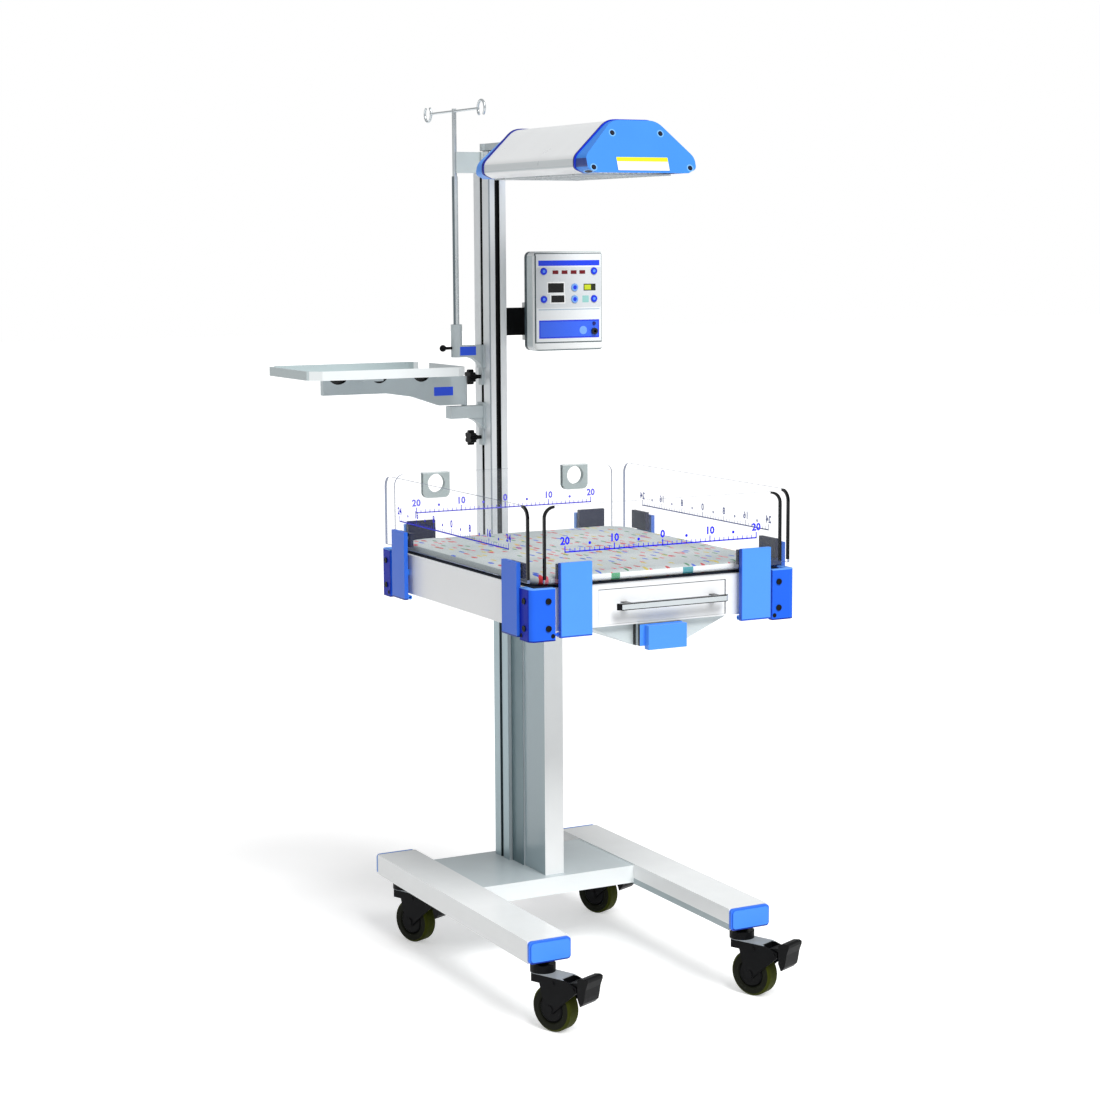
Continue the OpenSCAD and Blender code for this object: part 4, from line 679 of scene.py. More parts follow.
@dataclass
class Mattress:
    """The covered foam mattress, crowned and tucked in at its lower edge."""

    half_width: float = 0.2545
    front: float = -0.3035
    back: float = 0.2965
    low: float = 0.8304
    edge: float = 0.8468
    crown: float = 0.0022
    crown_power: float = 2.5
    corner: float = 0.049
    top: float = 0.8494
    voxel: float = 0.005
    pressure: float = 4.0
    frames: int = 20
    cap: float = 0.003
    rest_band: float = 0.004
    grid: tuple[int, int] = (52, 60)
    ripple: float = 0.0004
    ripple_power: int = 6
    ripple_x: Span = (41, 1.7)
    ripple_y: Span = (33, 0.6)
    tuck: float = 0.0006
    rim_steps: tuple[tuple[float, float], ...] = (
        (0.0016, -0.0009), (0.0018, -0.0024), (0.0008, -0.0040),
        (0.0, -0.0035), (-0.0008, -0.0028), (-0.0022, -0.0026),
    )
    band_front: float = -0.2995
    band_side: float = 0.2500
    band_top: float = 0.8452
    stripes: tuple[tuple[Span, Colour], ...] = (
        ((-0.214, -0.190), srgb(226, 120, 140)), ((-0.10, -0.082), srgb(70, 160, 110)),
        ((0.05, 0.072), srgb(50, 150, 160)), ((0.17, 0.188), srgb(24, 40, 120)),
    )
    cloth: tuple[Colour, Colour] = (srgb(180, 190, 190), srgb(206, 212, 212))
    cloth_ends: Span = (0.3, 0.7)
    cloth_cloud: float = 9.0
    cloth_rough: Span = (0.1, 0.6)
    sheen: float = 0.15
    weave: float = 420.0
    weave_strength: float = 0.12
    weave_depth: float = 0.0002
    flecks: tuple[Fleck, ...] = (
        Fleck(srgb(196, 14, 28), 44.0, (0.0, 0.0, 0.0), 0.17, 0.5),
        Fleck(srgb(206, 184, 24), 40.0, (3.1, 1.7, 0.4), 0.14, 1.9),
        Fleck(srgb(24, 128, 70), 42.0, (7.3, 2.9, 1.1), 0.13, 2.7),
        Fleck(srgb(24, 84, 210), 40.0, (5.7, 8.3, 2.3), 0.14, 1.2),
        Fleck(srgb(220, 44, 76), 48.0, (1.9, 6.1, 3.7), 0.14, 0.1),
    )
    fleck_stretch: Point = (1.0, 0.32, 1.0)
    fleck_skip: float = 0.58
    fleck_cover: float = 0.97

    @property
    def middle(self) -> float:
        """The middle of its length, from front to back."""
        return (self.front + self.back) / 2

    def build(self, bm: bmesh.types.BMesh) -> None:
        """Shape the cushion from a grid whose rim is turned down and under.

        Args:
            bm: The bmesh.
        """
        length = self.back - self.front
        bmesh.ops.create_grid(bm, x_segments=self.grid[0], y_segments=self.grid[1], size=0.5)
        bmesh.ops.scale(bm, vec=(2 * self.half_width, length, 1), verts=bm.verts)
        bmesh.ops.translate(bm, vec=(0, self.middle, 0), verts=bm.verts)
        middle = self.middle
        hx, hy, r = self.half_width, length / 2, self.corner
        for v in bm.verts:
            x, y = v.co.x, v.co.y - middle
            t = max(abs(x) / hx, abs(y) / hy)
            edge = Vector((x, y)) / max(t, 1e-6)
            cx, cy = hx - r, hy - r
            if abs(edge.x) > cx and abs(edge.y) > cy:
                inner = Vector((math.copysign(cx, edge.x), math.copysign(cy, edge.y)))
                edge = inner + (edge - inner).normalized() * r
            flat = edge * t
            v.co.x, v.co.y = flat.x, flat.y + middle
            rise = self.crown * (1 - t ** self.crown_power)
            (pace_x, start_x), (pace_y, start_y) = self.ripple_x, self.ripple_y
            waves = math.sin(x * pace_x + start_x) * math.sin(y * pace_y + start_y)
            v.co.z = self.edge + rise + self.ripple * waves * (1 - t ** self.ripple_power)
        rim = [e for e in bm.edges if e.is_boundary]
        for out, drop in self.rim_steps:
            grown = bmesh.ops.extrude_edge_only(bm, edges=rim)
            fresh = [v for v in grown["geom"] if isinstance(v, bmesh.types.BMVert)]
            rim = [e for e in grown["geom"] if isinstance(e, bmesh.types.BMEdge)]
            for v in fresh:
                away = Vector((v.co.x / hx, (v.co.y - middle) / hy, 0))
                v.co += away.normalized() * (out - self.tuck)
                v.co.z += drop
        bmesh.ops.holes_fill(bm, edges=rim, sides=0)
        for v in bm.verts:
            v.co.z = max(v.co.z, self.low)

    def bands(self) -> tuple[Zone, ...]:
        """The plain band round the edge, with short coloured stripes at the front.

        Returns:
            The zones, in painting order.
        """
        # The left and right edges of the band are painted grey as shade; the front edge keeps the
        # band's white.
        side = srgb(150, 160, 162)
        low_edge = below(self.band_top)
        front = below(self.band_front)
        zones = [
            Zone("left edge", side, x=below(-self.band_side), z=low_edge),
            Zone("right edge", side, x=above(self.band_side), z=low_edge),
            Zone("front edge", srgb(240, 243, 243), y=front, z=low_edge),
        ]
        zones += [Zone("stripe", ink, x=span, y=front, z=low_edge) for span, ink in self.stripes]
        return tuple(zones)

    def material(self) -> bpy.types.Material:
        """The printed cover: grey cloth with scattered coloured flecks.

        Returns:
            The material.
        """
        mat = bpy.data.materials.new("mattress_cover_print")
        mat.use_nodes = True
        tree = mat.node_tree
        shader = tree.nodes["Principled BSDF"]
        place = tree.nodes.new("ShaderNodeTexCoord").outputs["Object"]
        cloud = tree.nodes.new("ShaderNodeTexNoise")
        cloud.inputs["Scale"].default_value = self.cloth_cloud
        tree.links.new(place, cloud.inputs["Vector"])
        ramp = tree.nodes.new("ShaderNodeValToRGB")
        for element, shade, end in zip(ramp.color_ramp.elements, self.cloth, self.cloth_ends):
            element.position = end
            element.color = (*shade, 1)
        tree.links.new(cloud.outputs["Fac"], ramp.inputs["Fac"])
        colour = ramp.outputs["Color"]
        for fleck in self.flecks:
            mapping = tree.nodes.new("ShaderNodeMapping")
            mapping.inputs["Location"].default_value = fleck.shift
            mapping.inputs["Rotation"].default_value = (0.0, 0.0, fleck.turn)
            mapping.inputs["Scale"].default_value = self.fleck_stretch
            tree.links.new(place, mapping.inputs["Vector"])
            cells = tree.nodes.new("ShaderNodeTexVoronoi")
            cells.voronoi_dimensions = "2D"
            cells.inputs["Scale"].default_value = fleck.scale
            tree.links.new(mapping.outputs[0], cells.inputs["Vector"])
            spot = DRESSER.math(tree, "LESS_THAN", cells.outputs["Distance"], fleck.size)
            pick = tree.nodes.new("ShaderNodeSeparateColor")
            tree.links.new(cells.outputs["Color"], pick.inputs[0])
            some = DRESSER.math(tree, "GREATER_THAN", pick.outputs[0], self.fleck_skip)
            drawn = DRESSER.math(tree, "MULTIPLY", spot, some)
            mask = DRESSER.math(tree, "MULTIPLY", drawn, self.fleck_cover)
            colour = DRESSER.paint(tree, mask, colour, fleck.ink, "flecks")
        for zone in self.bands():
            mask = DRESSER.zone_mask(tree, place, zone)
            colour = DRESSER.paint(tree, mask, colour, zone.colour, zone.part)
        tree.links.new(colour, shader.inputs["Base Color"])
        rough = DRESSER.math(tree, "MULTIPLY_ADD", cloud.outputs["Fac"], *self.cloth_rough)
        tree.links.new(rough, shader.inputs["Roughness"])
        shader.inputs["Sheen Weight"].default_value = self.sheen
        weave = tree.nodes.new("ShaderNodeTexWave")
        weave.inputs["Scale"].default_value = self.weave
        tree.links.new(place, weave.inputs["Vector"])
        bump = tree.nodes.new("ShaderNodeBump")
        bump.inputs["Strength"].default_value = self.weave_strength
        bump.inputs["Distance"].default_value = self.weave_depth
        tree.links.new(weave.outputs["Fac"], bump.inputs["Height"])
        tree.links.new(bump.outputs[0], shader.inputs["Normal"])
        return mat

    def frozen(self, obj: bpy.types.Object) -> None:
        """Keep a piece's modified shape as its mesh.

        Args:
            obj: The piece.
        """
        graph = bpy.context.evaluated_depsgraph_get()
        mesh = bpy.data.meshes.new_from_object(obj.evaluated_get(graph))
        obj.modifiers.clear()
        old = obj.data
        obj.data = mesh
        bpy.data.meshes.remove(old)

    def puff(self, obj: bpy.types.Object) -> None:
        """Swell the cover with a short cloth run, capped and resting flat.

        Args:
            obj: The cushion.
        """
        remesh = obj.modifiers.new("voxels", "REMESH")
        remesh.mode = "VOXEL"
        remesh.voxel_size = self.voxel
        self.frozen(obj)
        start = [v.co.copy() for v in obj.data.vertices]
        cloth = obj.modifiers.new("cloth", "CLOTH")
        cloth.settings.use_pressure = True
        cloth.settings.uniform_pressure_force = self.pressure
        cloth.settings.effector_weights.gravity = 0.0
        for frame in range(1, self.frames + 1):
            bpy.context.scene.frame_set(frame)
        self.frozen(obj)
        bpy.context.scene.frame_set(1)
        reach = (self.back - self.front) / 2
        for v, old in zip(obj.data.vertices, start):
            step = v.co - old
            if step.length > self.cap:
                v.co = old + step.normalized() * self.cap
            if old.z < self.low + self.rest_band:
                v.co.z = min(v.co.z, old.z)
            v.co.z = min(max(v.co.z, self.low), self.top)
            v.co.x = min(max(v.co.x, -self.half_width), self.half_width)
            v.co.y = min(max(v.co.y, self.middle - reach), self.middle + reach)
        for polygon in obj.data.polygons:
            polygon.use_smooth = True

    def place(self) -> bpy.types.Object:
        """Put the cushion in place of the plain solid.

        Returns:
            The cushion.
        """
        obj = piece("mattress_cushion", self.build, "deck", PAN_GREY, smooth=True)
        self.puff(obj)
        obj.data.materials[0] = self.material()
        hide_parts("mattress")
        return obj


@dataclass
class Ruler:
    """A printed centimetre ruler on a clear panel."""

    name: str
    body: str
    origin: Point
    along: Point
    outward: Point
    half_cm: int
    label_every: int
    finish: Finish = PRINT_BLUE
    base: float = 0.892
    line: float = 0.0022
    tick: float = 0.012
    skin: float = 0.00012
    centimetre: float = 0.01
    short_tick: float = 0.62
    thin_tick: float = 0.7
    rule_gain: float = 1.18
    dot_radius: float = 0.0028
    dot_sides: int = 14
    above_tick: float = 0.003
    number_size: float = 0.019
    number_bold: float = 0.0007

    def place(self) -> None:
        """Add the line, ticks, dots and numbers."""
        a = Vector(self.along)
        out = Vector(self.outward)
        up = Vector((0, 0, 1))
        turn = Matrix((a, up, out)).transposed().to_4x4()
        spot = Matrix.Translation(Vector(self.origin) + out * self.skin) @ turn

        def bar(bm: bmesh.types.BMesh, x: float, width: float, height: float) -> None:
            """One printed bar.

            Args:
                bm: The bmesh.
                x: Its middle along the ruler.
                width: Its width.
                height: Its height above the base line.
            """
            made = bmesh.ops.create_grid(bm, x_segments=1, y_segments=1, size=0.5)
            bmesh.ops.scale(bm, vec=(width, height, 1), verts=made["verts"])
            bmesh.ops.translate(bm, vec=(x, self.base + height / 2, 0), verts=made["verts"])

        def build(bm: bmesh.types.BMesh) -> None:
            """The whole ruler, flat, then turned onto the panel.

            Args:
                bm: The bmesh.
            """
            long = 2 * self.half_cm * self.centimetre + self.line
            bar(bm, 0, long, self.line * self.rule_gain)
            for i in range(-self.half_cm, self.half_cm + 1):
                x = i * self.centimetre
                if i % self.label_every == 0:
                    bar(bm, x, self.line, self.tick)
                    continue
                bar(bm, x, self.line * self.thin_tick, self.tick * self.short_tick)
                if (i * 2) % self.label_every == 0:
                    dot = bmesh.ops.create_circle(bm, cap_ends=True, segments=self.dot_sides,
                                                  radius=self.dot_radius)
                    height = self.base + self.tick + self.above_tick
                    bmesh.ops.translate(bm, vec=(x, height, 0), verts=dot["verts"])
            bmesh.ops.transform(bm, matrix=spot, verts=bm.verts)
        obj = piece(f"{self.name}_ruler", build, self.body, self.finish)
        self.numbers(obj, spot)

    def numbers(self, ruler: bpy.types.Object, spot: Matrix) -> None:
        """Add the plain numbers above the long ticks.

        Args:
            ruler: The ruler's object, which they join.
            spot: The place of the ruler's flat drawing.
        """
        bm = bmesh.new()
        bm.from_mesh(ruler.data)
        for i in range(-self.half_cm, self.half_cm + 1, self.label_every):
            curve = bpy.data.curves.new("number", "FONT")
            curve.body = str(abs(i))
            curve.size = self.number_size
            curve.offset = self.number_bold
            curve.align_x = "CENTER"
            curve.resolution_u = 2
            temp = bpy.data.objects.new("number", curve)
            bpy.context.scene.collection.objects.link(temp)
            bpy.context.view_layer.update()
            graph = bpy.context.evaluated_depsgraph_get()
            mesh = bpy.data.meshes.new_from_object(temp.evaluated_get(graph))
            height = self.base + self.tick + self.above_tick
            mesh.transform(spot @ Matrix.Translation((i * self.centimetre, height, 0)))
            bm.from_mesh(mesh)
            bpy.data.objects.remove(temp)
            bpy.data.curves.remove(curve)
            bpy.data.meshes.remove(mesh)
        bm.to_mesh(ruler.data)
        bm.free()


@dataclass
class Walls:
    """The four clear panels with their clamps and ports."""

    front_y: float = -0.326
    side_x: float = 0.2755
    rear_y: float = 0.321
    front_end: float = 0.249
    side_end: float = -0.313
    corner: float = 0.022
    corner_z: float = 0.955
    band_low: float = 0.846
    band_width: float = 0.0045
    front_ruler: Span = (-0.007, 0.0)
    rear_ruler: Span = (-0.003, 0.004)

    def dress(self) -> None:
        """Finish the panels, clamps and ports."""
        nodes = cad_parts
        for side in ("front", "rear"):
            DRESSER.dress(nodes[f"panel_{side}"], ACRYLIC_Y, self.end_bands(side))
        for side in ("left", "right"):
            DRESSER.dress(nodes[f"panel_{side}"], ACRYLIC_X, self.end_bands(side))
        DRESSER.dress(nodes["panel_clamps_front"], CLAMP_BLUE, (
            # Painted shade: the inner plates navy, and the lower edges and the left edges of the plates
            # darker blue.
            Zone("shaded inner plates", SHADE_NAVY, y=(-0.3211, -0.30), z=above(0.80)),
            Zone("shaded lower edges", SHADED_EDGE_BLUE, y=below(-0.3260), z=below(0.7438)),
            Zone("left edge of the left plate", SHADED_EDGE_BLUE, x=(-0.2206, -0.2187), y=below(-0.3260)),
            Zone("left edge of the right plate", SHADED_EDGE_BLUE, x=(0.1564, 0.1583), y=below(-0.3260)),
        ))
        DRESSER.dress(nodes["panel_clamps_rear"], CLAMP_BLUE, (
            # Painted shade on the inner plates.
            Zone("shaded inner plates", SHADE_NAVY, y=(0.30, 0.3212), z=above(0.829)),
        ))
        DRESSER.dress(nodes["panel_clamps_left"], CLAMP_BLUE, (
            # Painted shade: the outer plates, on the side away from the light, are darker blue, the
            # inner plates navy and the lower edges darker.
            Zone("shaded outer plates", srgb(44, 108, 226), x=below(-0.2754)),
            Zone("shaded inner plates", SHADE_NAVY, x=(-0.2706, 0), z=above(0.80)),
            Zone("shaded lower edges", srgb(30, 62, 150), x=below(-0.2754), z=below(0.7438)),
        ))
        DRESSER.dress(nodes["panel_clamps_right"], CLAMP_BLUE, (
            # Painted shade on the outer plates, which face away from the light, and on the inner
            # plates.
            Zone("shaded outer plates", srgb(60, 108, 205), x=above(0.2754)),
            Zone("shaded inner plates", SHADE_NAVY, x=(0, 0.2706), z=above(0.80)),
        ))
        DRESSER.dress(nodes["tubing_ports"], PORT_RUBBER, (
            # Painted highlight: a lighter line along the top of the ports.
            Zone("top line", srgb(232, 238, 238), z=above(0.9765)),
        ))

    def end_bands(self, side: str) -> tuple[Zone, ...]:
        """The near-black bands at the ends of a panel, which follow its rounded corners.

        Args:
            side: Which panel.

        Returns:
            The zones.
        """
        upright = (self.band_low, self.corner_z)
        inside = self.corner - self.band_width
        if side == "rear":
            return ()
        if side == "front":
            zones = []
            for sx in (-1, 1):
                bar, turn = [tuple(sorted((sx * (self.front_end - w), sx * FAR)))
                             for w in (self.band_width, self.corner)]
                spot = (sx * (self.front_end - self.corner), self.front_y, self.corner_z)
                zones.append(Zone("end band", SHADE_AND_BAND_BLACK, x=bar, z=upright, alpha=1.0))
                zones.append(Zone("corner band", SHADE_AND_BAND_BLACK, x=turn, z=above(self.corner_z),
                                  axis_point=spot, axis=(0, 1, 0), radius=inside, outside=True,
                                  alpha=1.0))
            return tuple(zones)
        turn_y = self.side_end + self.corner
        end = below(self.side_end + self.band_width)
        return (Zone("end band", SHADE_AND_BAND_BLACK, y=end, z=upright, alpha=1.0),
                Zone("corner band", SHADE_AND_BAND_BLACK, y=below(turn_y), z=above(self.corner_z),
                     axis_point=(0, turn_y, self.corner_z), axis=(1, 0, 0), radius=inside,
                     outside=True, alpha=1.0))

    def rulers(self) -> None:
        """Print a ruler on each panel."""
        (x, z), (rear_x, rear_z) = self.front_ruler, self.rear_ruler
        side = self.side_x
        for ruler in (
            Ruler("front", "front_wall", (x, self.front_y, z), (1, 0, 0), (0, -1, 0),
                  half_cm=20, label_every=10),
            Ruler("rear", "rear_wall", (rear_x, self.rear_y, rear_z), (1, 0, 0), (0, -1, 0),
                  half_cm=20, label_every=10, finish=PRINT_PALE),
            Ruler("left", "left_wall", (-side, 0, 0), (0, -1, 0), (-1, 0, 0),
                  half_cm=24, label_every=8),
            Ruler("right", "right_wall", (side, 0, 0), (0, 1, 0), (1, 0, 0),
                  half_cm=24, label_every=8, finish=PRINT_GREY),
        ):
            ruler.place()


@dataclass
class Head:
    """The heater head."""

    slope: float = math.radians(19.7)
    nose: float = -0.245
    low: float = 1.560
    screws: tuple[tuple[float, float], ...] = ((-0.05, 0.076), (0.05, 0.076), (-0.1, 0.01), (0.1, 0.01))
    rings: tuple[tuple[float, Colour], ...] = ((0.0070, srgb(120, 184, 255)), (0.0048, srgb(6, 10, 30)))
    label_x: Span = (-0.0512, 0.0552)
    label_rise: Span = (0.0045, 0.0225)
    strip_rise: Span = (0.0215, 0.0296)
    side_x: float = -0.1122

    def on_slope(self, x: float, rise: float) -> Point:
        """A point of the sloping front, from its lower edge up.

        Args:
            x: Distance from the middle.
            rise: Distance up the slope.

        Returns:
            The point.
        """
        return (x, self.nose + rise * math.sin(self.slope), self.low + rise * math.cos(self.slope))

    def cap_zones(self) -> tuple[Zone, ...]:
        """The joints, screws and label of the end caps.

        Returns:
            The zones, in painting order.
        """
        out = (0.0, -math.cos(self.slope), math.sin(self.slope))
        label, strip = [tuple(self.on_slope(0, rise)[2] for rise in span)
                        for span in (self.label_rise, self.strip_rise)]
        zones = [
            Zone("rear cap", srgb(96, 160, 250), y=above(0.1865)),
            # Painted shade on the left side of the front cap.
            Zone("left side of the front cap", srgb(52, 74, 150), x=below(self.side_x),
                 y=below(-0.1970), z=below(1.5885)),
            Zone("joint of the rear cap", srgb(10, 26, 140), y=(0.1795, 0.1865)),
            Zone("lip of the front cap", srgb(14, 44, 200), y=(-0.1965, -0.1935)),
            Zone("joint of the front cap", srgb(8, 20, 120), y=(-0.1935, -0.1895)),
            Zone("blank label", srgb(245, 247, 247), x=self.label_x, y=below(-0.2), z=label),
            Zone("yellow strip", srgb(236, 240, 30), x=self.label_x, y=below(-0.2), z=strip),
        ]
        for x, rise in self.screws:
            for radius, colour in self.rings:
                zones.append(Zone("screw", colour, y=below(-0.19), axis_point=self.on_slope(x, rise),
                                  axis=out, radius=radius))
        return tuple(zones)

    def dress(self) -> None:
        """Finish the head's nodes."""
        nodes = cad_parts
        DRESSER.dress(nodes["head_casing"], FRAME_PAINT, (
            # Painted shade on the left side, darker towards the bottom.
            Zone("left side", srgb(224, 230, 232), x=below(self.side_x), z=below(1.586)),
            Zone("lower left side", srgb(204, 212, 215), x=below(self.side_x), z=below(1.574)),
        ))
        DRESSER.dress(nodes["head_end_caps"], HEAD_BLUE, self.cap_zones())
        DRESSER.dress(nodes["head_neck"], BRACKET_GREY)
        DRESSER.dress(nodes["reflector"], BRIGHT_STEEL)
        DRESSER.dress(nodes["heater_tubes"], QUARTZ)
        DRESSER.dress(nodes["guard_grille"], STEEL)


@dataclass
class Controls:
    """The control box, its face and keys."""

    face_y: float = 0.28
    foil: Span = (0.27, 0.2835)
    jack: tuple[float, float] = (0.185, 1.255)
    jack_radius: float = 0.0068
    lamp_spots: tuple[int, ...] = (96, 117, 138, 158)
    lamp_half: float = 6.6
    blue_keys: tuple[tuple[str, float, float], ...] = (
        ("alarm", 0.069, 1.378), ("mute", 0.185, 1.378),
        ("mode", 0.069, 1.3215), ("lamp", 0.185, 1.3215),
    )
    arrow_keys: tuple[tuple[str, float, float], ...] = (("up", 0.140, 1.345), ("down", 0.140, 1.321))

    def round_patch(self, part: str, x: float, z: float, radius: float, colour: Colour,
                    y: Span = ANYWHERE, rough: Optional[float] = 0.3) -> Zone:
        """A printed disc on the face.

        Args:
            part: What it is.
            x: Its middle across the face.
            z: Its middle's height.
            radius: Its radius.
            colour: Its colour.
            y: How deep it reaches.
            rough: Its roughness, if it has its own.

        Returns:
            The zone.
        """
        return Zone(part, colour, y=y, axis_point=(x, self.face_y, z), axis=(0, 1, 0), radius=radius,
                    rough=rough)

    def patch(self, part: str, x: Span, z: Span, colour: Colour, rough: float = 0.25) -> Zone:
        """A printed rectangle on the face.

        Args:
            part: What it is.
            x: From where to where across the face, in millimetres.
            z: From which height to which, in millimetres.
            colour: Its colour.
            rough: Its roughness.

        Returns:
            The zone.
        """
        across = (x[0] / 1000, x[1] / 1000)
        heights = (z[0] / 1000, z[1] / 1000)
        return Zone(part, colour, x=across, y=self.foil, z=heights, rough=rough)

    def face_zones(self) -> tuple[Zone, ...]:
        """The plain printed shapes of the control face.

        Returns:
            The zones, in painting order.
        """
        zones = [
            self.patch("grey field", (53, 201), (1304, 1386), srgb(214, 219, 222), 0.35),
            self.patch("blue bar", (57, 198), (1389, 1400), srgb(22, 62, 232)),
            self.patch("thin line", (57, 198), (1299.5, 1301.5), srgb(170, 190, 206)),
            self.patch("rim of the blue panel", (58, 197), (1242, 1279), srgb(24, 60, 226)),
            self.patch("blue panel", (61, 194), (1245, 1276), srgb(52, 104, 246)),
            self.patch("upper display's border", (76.5, 117.5), (1332.5, 1356.5), srgb(250, 252, 252)),
            self.patch("lower display's border", (83.5, 118.5), (1312.5, 1331.5), srgb(250, 252, 252)),
            self.patch("upper display", (79, 115), (1335, 1354), srgb(6, 8, 10), 0.12),
            self.patch("lower display", (86, 116), (1315, 1329), srgb(6, 8, 10), 0.12),
            self.patch("window", (161, 189), (1338, 1352), srgb(34, 40, 20), 0.15),
            self.patch("lit part of the window", (163, 178), (1340, 1350), srgb(200, 214, 40), 0.15),
            self.patch("green square", (158, 173), (1314, 1328), srgb(150, 205, 200)),
        ]
        for x in self.lamp_spots:
            span = (x - self.lamp_half, x + self.lamp_half)
            zones.append(self.patch("lamp", span, (1372.4, 1379.6), srgb(110, 0, 18), 0.15))
        zones.append(self.round_patch("pale disc", 0.160, 1.2575, 0.0085, srgb(120, 172, 252)))
        zones.append(self.round_patch("probe socket", *self.jack, self.jack_radius, srgb(8, 10, 14)))
        zones.append(self.round_patch("small lamp", 0.185, 1.271, 0.0037, srgb(10, 14, 110)))
        return tuple(zones)

    def dress(self) -> None:
        """Finish the box, face, keys and bracket."""
        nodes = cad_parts
        DRESSER.dress(nodes["control_housing"], BOX_WHITE, (
            Zone("top edge", srgb(196, 206, 205), z=above(1.4165)),
            # Painted shade under the lower edge and on the left side of the front shell.
            Zone("lower edge", srgb(150, 164, 168), z=below(1.2195)),
            Zone("left side", srgb(214, 224, 225), x=below(0.0475), y=(0.2900, 0.314)),
            Zone("joint of the rear shell", srgb(62, 78, 84), x=below(0.0560), y=(0.3140, 0.3256)),
            # Painted shade on the rear shell's left side.
            Zone("rear shell's left side", srgb(158, 176, 180), x=below(0.0600), y=above(0.3256)),
            Zone("gap round the face", srgb(84, 98, 102), x=(0.0498, 0.2035), y=(0.28, 0.2875),
                 z=(1.2325, 1.4148)),
            self.round_patch("probe socket", *self.jack, self.jack_radius, srgb(8, 10, 14),
                             below(0.30), None),
        ))
        DRESSER.dress(nodes["control_faceplate"], FACE_WHITE, self.face_zones())
        for key, x, z in self.blue_keys:
            centre = self.round_patch("key's centre", x, z, 0.003, srgb(96, 150, 255), rough=None)
            DRESSER.dress(nodes[f"key_{key}"], KEY_BLUE, (centre,))
        for key, x, z in self.arrow_keys:
            centre = self.round_patch("key's centre", x, z, 0.0042, srgb(16, 56, 226), rough=None)
            DRESSER.dress(nodes[f"key_{key}"], KEY_LIGHT, (centre,))
        DRESSER.dress(nodes["control_bracket"], BLACK_STEEL)


@dataclass
class Fittings:
    """The infusion pole, tray and knobs on the mast's left side."""

    notches: tuple[float, ...] = (-0.343, -0.254, -0.161)
    notch_half: float = 0.0195
    notch_y: Span = (0.3808, 0.3880)
    notch_z: Span = (1.1555, 1.1659)

    def dress(self) -> None:
        """Finish the pole's, tray's and knobs' nodes."""
        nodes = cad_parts
        DRESSER.dress(nodes["iv_brackets"], BRACKET_GREY, (
            Zone("upper arm", srgb(190, 199, 198), z=(1.5, 1.7)),
            Zone("blank blue label", srgb(28, 84, 232), x=(-0.0755, -0.0388), y=below(0.3778),
                 z=(1.2077, 1.2258)),
        ))
        DRESSER.dress(nodes["iv_tube"], STEEL, (
            # Painted shade on the tube's left side.
            Zone("left side", srgb(112, 124, 130), x=below(-0.0815)),
        ))
        DRESSER.dress(nodes["iv_rod"], STEEL)
        DRESSER.dress(nodes["tray_bracket"], BRACKET_GREY)
        label = Zone("blank blue label", srgb(30, 80, 235), x=(-0.1333, -0.0904), y=below(0.3807),
                     z=(1.127, 1.1449))
        half = self.notch_half
        # Painted shade inside the notches of the arm.
        notches = [Zone("notch", SHADE_AND_BAND_BLACK, x=(x - half, x + half), y=self.notch_y, z=self.notch_z)
                   for x in self.notches]
        DRESSER.dress(nodes["tray_arm"], BEAM_GREY, (label, *notches))
        DRESSER.dress(nodes["tray_shelf"], TRAY_GREY, (
            Zone("rear rim", srgb(176, 190, 192), y=above(0.5200), z=above(1.1755)),
            # Painted shade on the left rim.
            Zone("shaded left rim", srgb(190, 202, 204), x=below(-0.4370), y=above(0.2850)),
        ))
        for knob in ("knob_upper", "knob_lower", "knob_ball"):
            DRESSER.dress(nodes[knob], BLACK_NYLON)


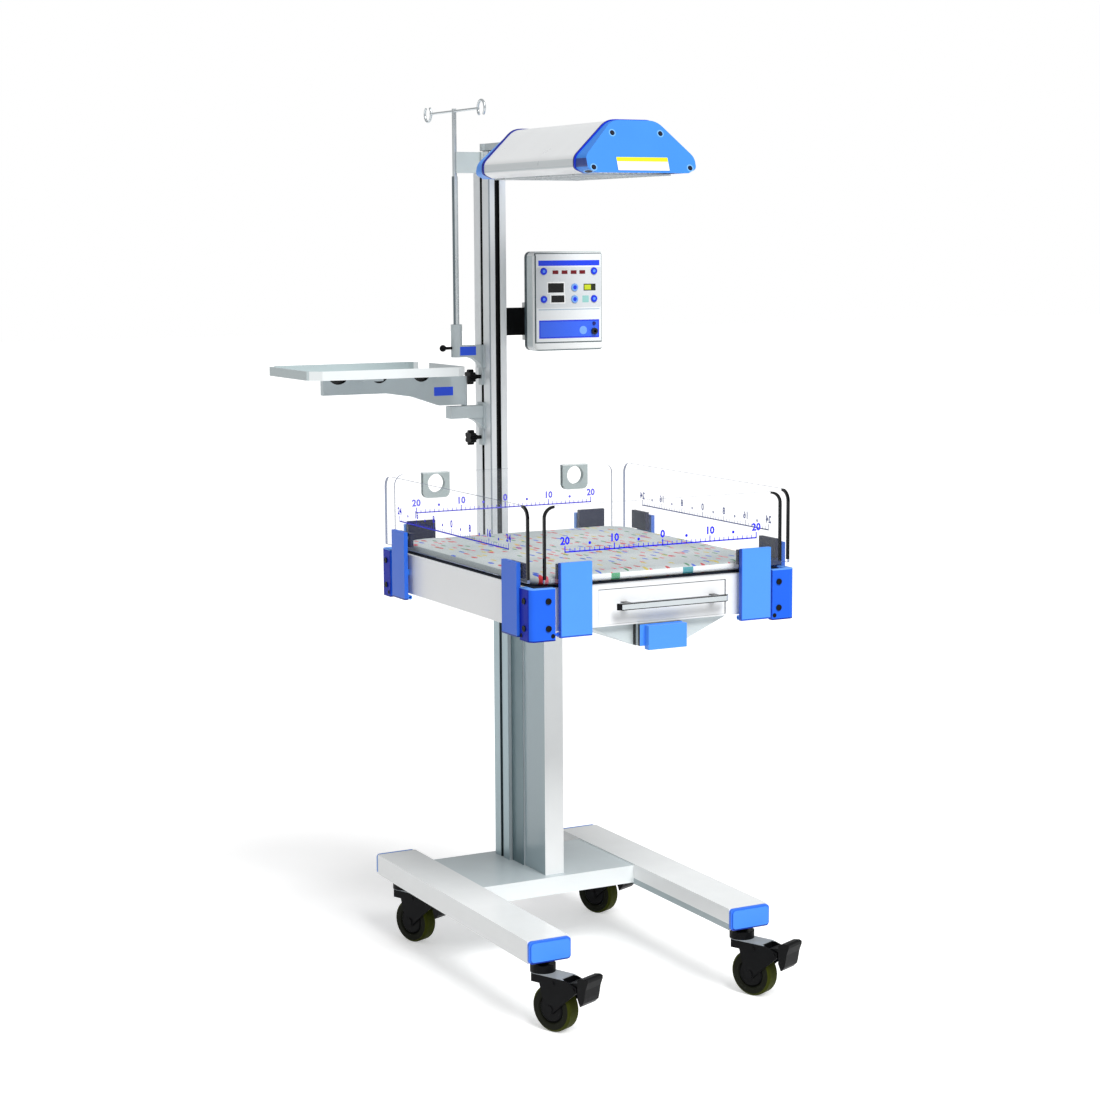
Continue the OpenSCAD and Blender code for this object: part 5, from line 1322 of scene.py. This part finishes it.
@dataclass
class Studio:
    """The pale floor, soft light and the photograph's camera."""

    position: Point = (-2.0963, -3.896, 1.4389)
    yaw: float = 0.4802
    pitch: float = 0.1333
    roll: float = -0.0059
    lens: float = 75.39
    world_light: float = 0.38
    sun_light: float = 2.9
    sun_angle: float = 0.5
    sun_from: Point = (0.04, -0.67, 0.74)
    floor_half: float = 30.0
    floor_grey: float = 0.82
    floor_glow: float = 0.42
    sensor: float = 36.0
    clip_end: float = 60.0
    white_for: tuple[str, str, str] = ("Camera", "Glossy", "Transmission")

    def camera(self) -> None:
        """Set the camera where the photograph was taken."""
        sy, cy = math.sin(self.yaw), math.cos(self.yaw)
        sp, cp = math.sin(self.pitch), math.cos(self.pitch)
        forward = Vector((sy * cp, cy * cp, -sp))
        right = Vector((cy, -sy, 0))
        up = right.cross(forward)
        sr, cr = math.sin(self.roll), math.cos(self.roll)
        across = right * cr + up * sr
        upward = right * -sr + up * cr
        turn = Matrix((across, upward, -forward)).transposed().to_4x4()
        data = bpy.data.cameras.new("photo_camera")
        data.lens = self.lens
        data.sensor_width = self.sensor
        data.sensor_fit = "HORIZONTAL"
        data.clip_end = self.clip_end
        obj = bpy.data.objects.new("photo_camera", data)
        obj.matrix_world = Matrix.Translation(self.position) @ turn
        bpy.context.scene.collection.objects.link(obj)
        bpy.context.scene.camera = obj

    def floor(self) -> None:
        """Lay a wide pale floor that goes white for the camera."""
        mesh = bpy.data.meshes.new("studio_floor")
        bm = bmesh.new()
        bmesh.ops.create_grid(bm, x_segments=1, y_segments=1, size=self.floor_half)
        bm.to_mesh(mesh)
        bm.free()
        obj = bpy.data.objects.new("studio_floor", mesh)
        bpy.context.scene.collection.objects.link(obj)
        mat = bpy.data.materials.new("studio_floor_white")
        mat.use_nodes = True
        tree = mat.node_tree
        tree.nodes.clear()
        out = tree.nodes.new("ShaderNodeOutputMaterial")
        diffuse = tree.nodes.new("ShaderNodeBsdfDiffuse")
        diffuse.inputs["Color"].default_value = (self.floor_grey, self.floor_grey, self.floor_grey, 1)
        glow = tree.nodes.new("ShaderNodeEmission")
        glow.inputs["Strength"].default_value = self.floor_glow
        rays = tree.nodes.new("ShaderNodeLightPath")
        camera, glossy, through = [rays.outputs[f"Is {kind} Ray"] for kind in self.white_for]
        seen = DRESSER.math(tree, "MAXIMUM", camera, glossy)
        seen = DRESSER.math(tree, "MAXIMUM", seen, through)
        both = tree.nodes.new("ShaderNodeAddShader")
        tree.links.new(diffuse.outputs[0], both.inputs[0])
        tree.links.new(glow.outputs[0], both.inputs[1])
        mix = tree.nodes.new("ShaderNodeMixShader")
        tree.links.new(seen, mix.inputs["Fac"])
        tree.links.new(diffuse.outputs[0], mix.inputs[1])
        tree.links.new(both.outputs[0], mix.inputs[2])
        tree.links.new(mix.outputs[0], out.inputs[0])
        mesh.materials.append(mat)

    def light(self) -> None:
        """Add the soft light, and a white surround for camera and transmission rays."""
        world = bpy.data.worlds.new("studio_world")
        bpy.context.scene.world = world
        world.use_nodes = True
        tree = world.node_tree
        tree.nodes.clear()
        out = tree.nodes.new("ShaderNodeOutputWorld")
        lit = tree.nodes.new("ShaderNodeBackground")
        lit.inputs["Color"].default_value = (1.0, 1.0, 1.0, 1)
        lit.inputs["Strength"].default_value = self.world_light
        seen = tree.nodes.new("ShaderNodeBackground")
        seen.inputs["Color"].default_value = (1.0, 1.0, 1.0, 1)
        seen.inputs["Strength"].default_value = 1.0
        rays = tree.nodes.new("ShaderNodeLightPath")
        camera, _, through = [rays.outputs[f"Is {kind} Ray"] for kind in self.white_for]
        mask = DRESSER.math(tree, "MAXIMUM", camera, through)
        mix = tree.nodes.new("ShaderNodeMixShader")
        tree.links.new(mask, mix.inputs["Fac"])
        tree.links.new(lit.outputs[0], mix.inputs[1])
        tree.links.new(seen.outputs[0], mix.inputs[2])
        tree.links.new(mix.outputs[0], out.inputs[0])
        sun = bpy.data.lights.new("studio_sun", "SUN")
        sun.energy = self.sun_light
        sun.angle = self.sun_angle
        lamp = bpy.data.objects.new("studio_sun", sun)
        toward = Vector(self.sun_from).normalized()
        lamp.matrix_world = toward.to_track_quat("Z", "Y").to_matrix().to_4x4()
        bpy.context.scene.collection.objects.link(lamp)

    def view(self) -> None:
        """Show colours as they are written."""
        bpy.context.scene.view_settings.view_transform = "Standard"


def main() -> None:
    """Build the studio, dress every node and add the finer pieces."""
    logging.basicConfig(level=logging.INFO, format="%(name)s: %(message)s")
    studio = Studio()
    studio.camera()
    studio.floor()
    studio.light()
    studio.view()
    LOG.info("studio set")
    Base().dress()
    LOG.info("base dressed")
    bed = Bed()
    bed.dress()
    bed.screws()
    LOG.info("bed dressed")
    Mattress().place()
    LOG.info("mattress laid")
    walls = Walls()
    walls.dress()
    walls.rulers()
    LOG.info("walls and rulers")
    Head().dress()
    LOG.info("head dressed")
    Controls().dress()
    LOG.info("controls dressed")
    Fittings().dress()
    LOG.info("fittings dressed")


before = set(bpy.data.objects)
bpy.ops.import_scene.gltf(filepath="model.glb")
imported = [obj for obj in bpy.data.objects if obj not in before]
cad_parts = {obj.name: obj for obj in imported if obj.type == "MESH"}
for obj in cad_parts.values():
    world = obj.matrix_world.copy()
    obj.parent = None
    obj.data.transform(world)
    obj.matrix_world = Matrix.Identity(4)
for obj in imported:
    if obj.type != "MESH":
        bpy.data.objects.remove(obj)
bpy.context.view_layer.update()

if __name__ == "__main__":
    main()
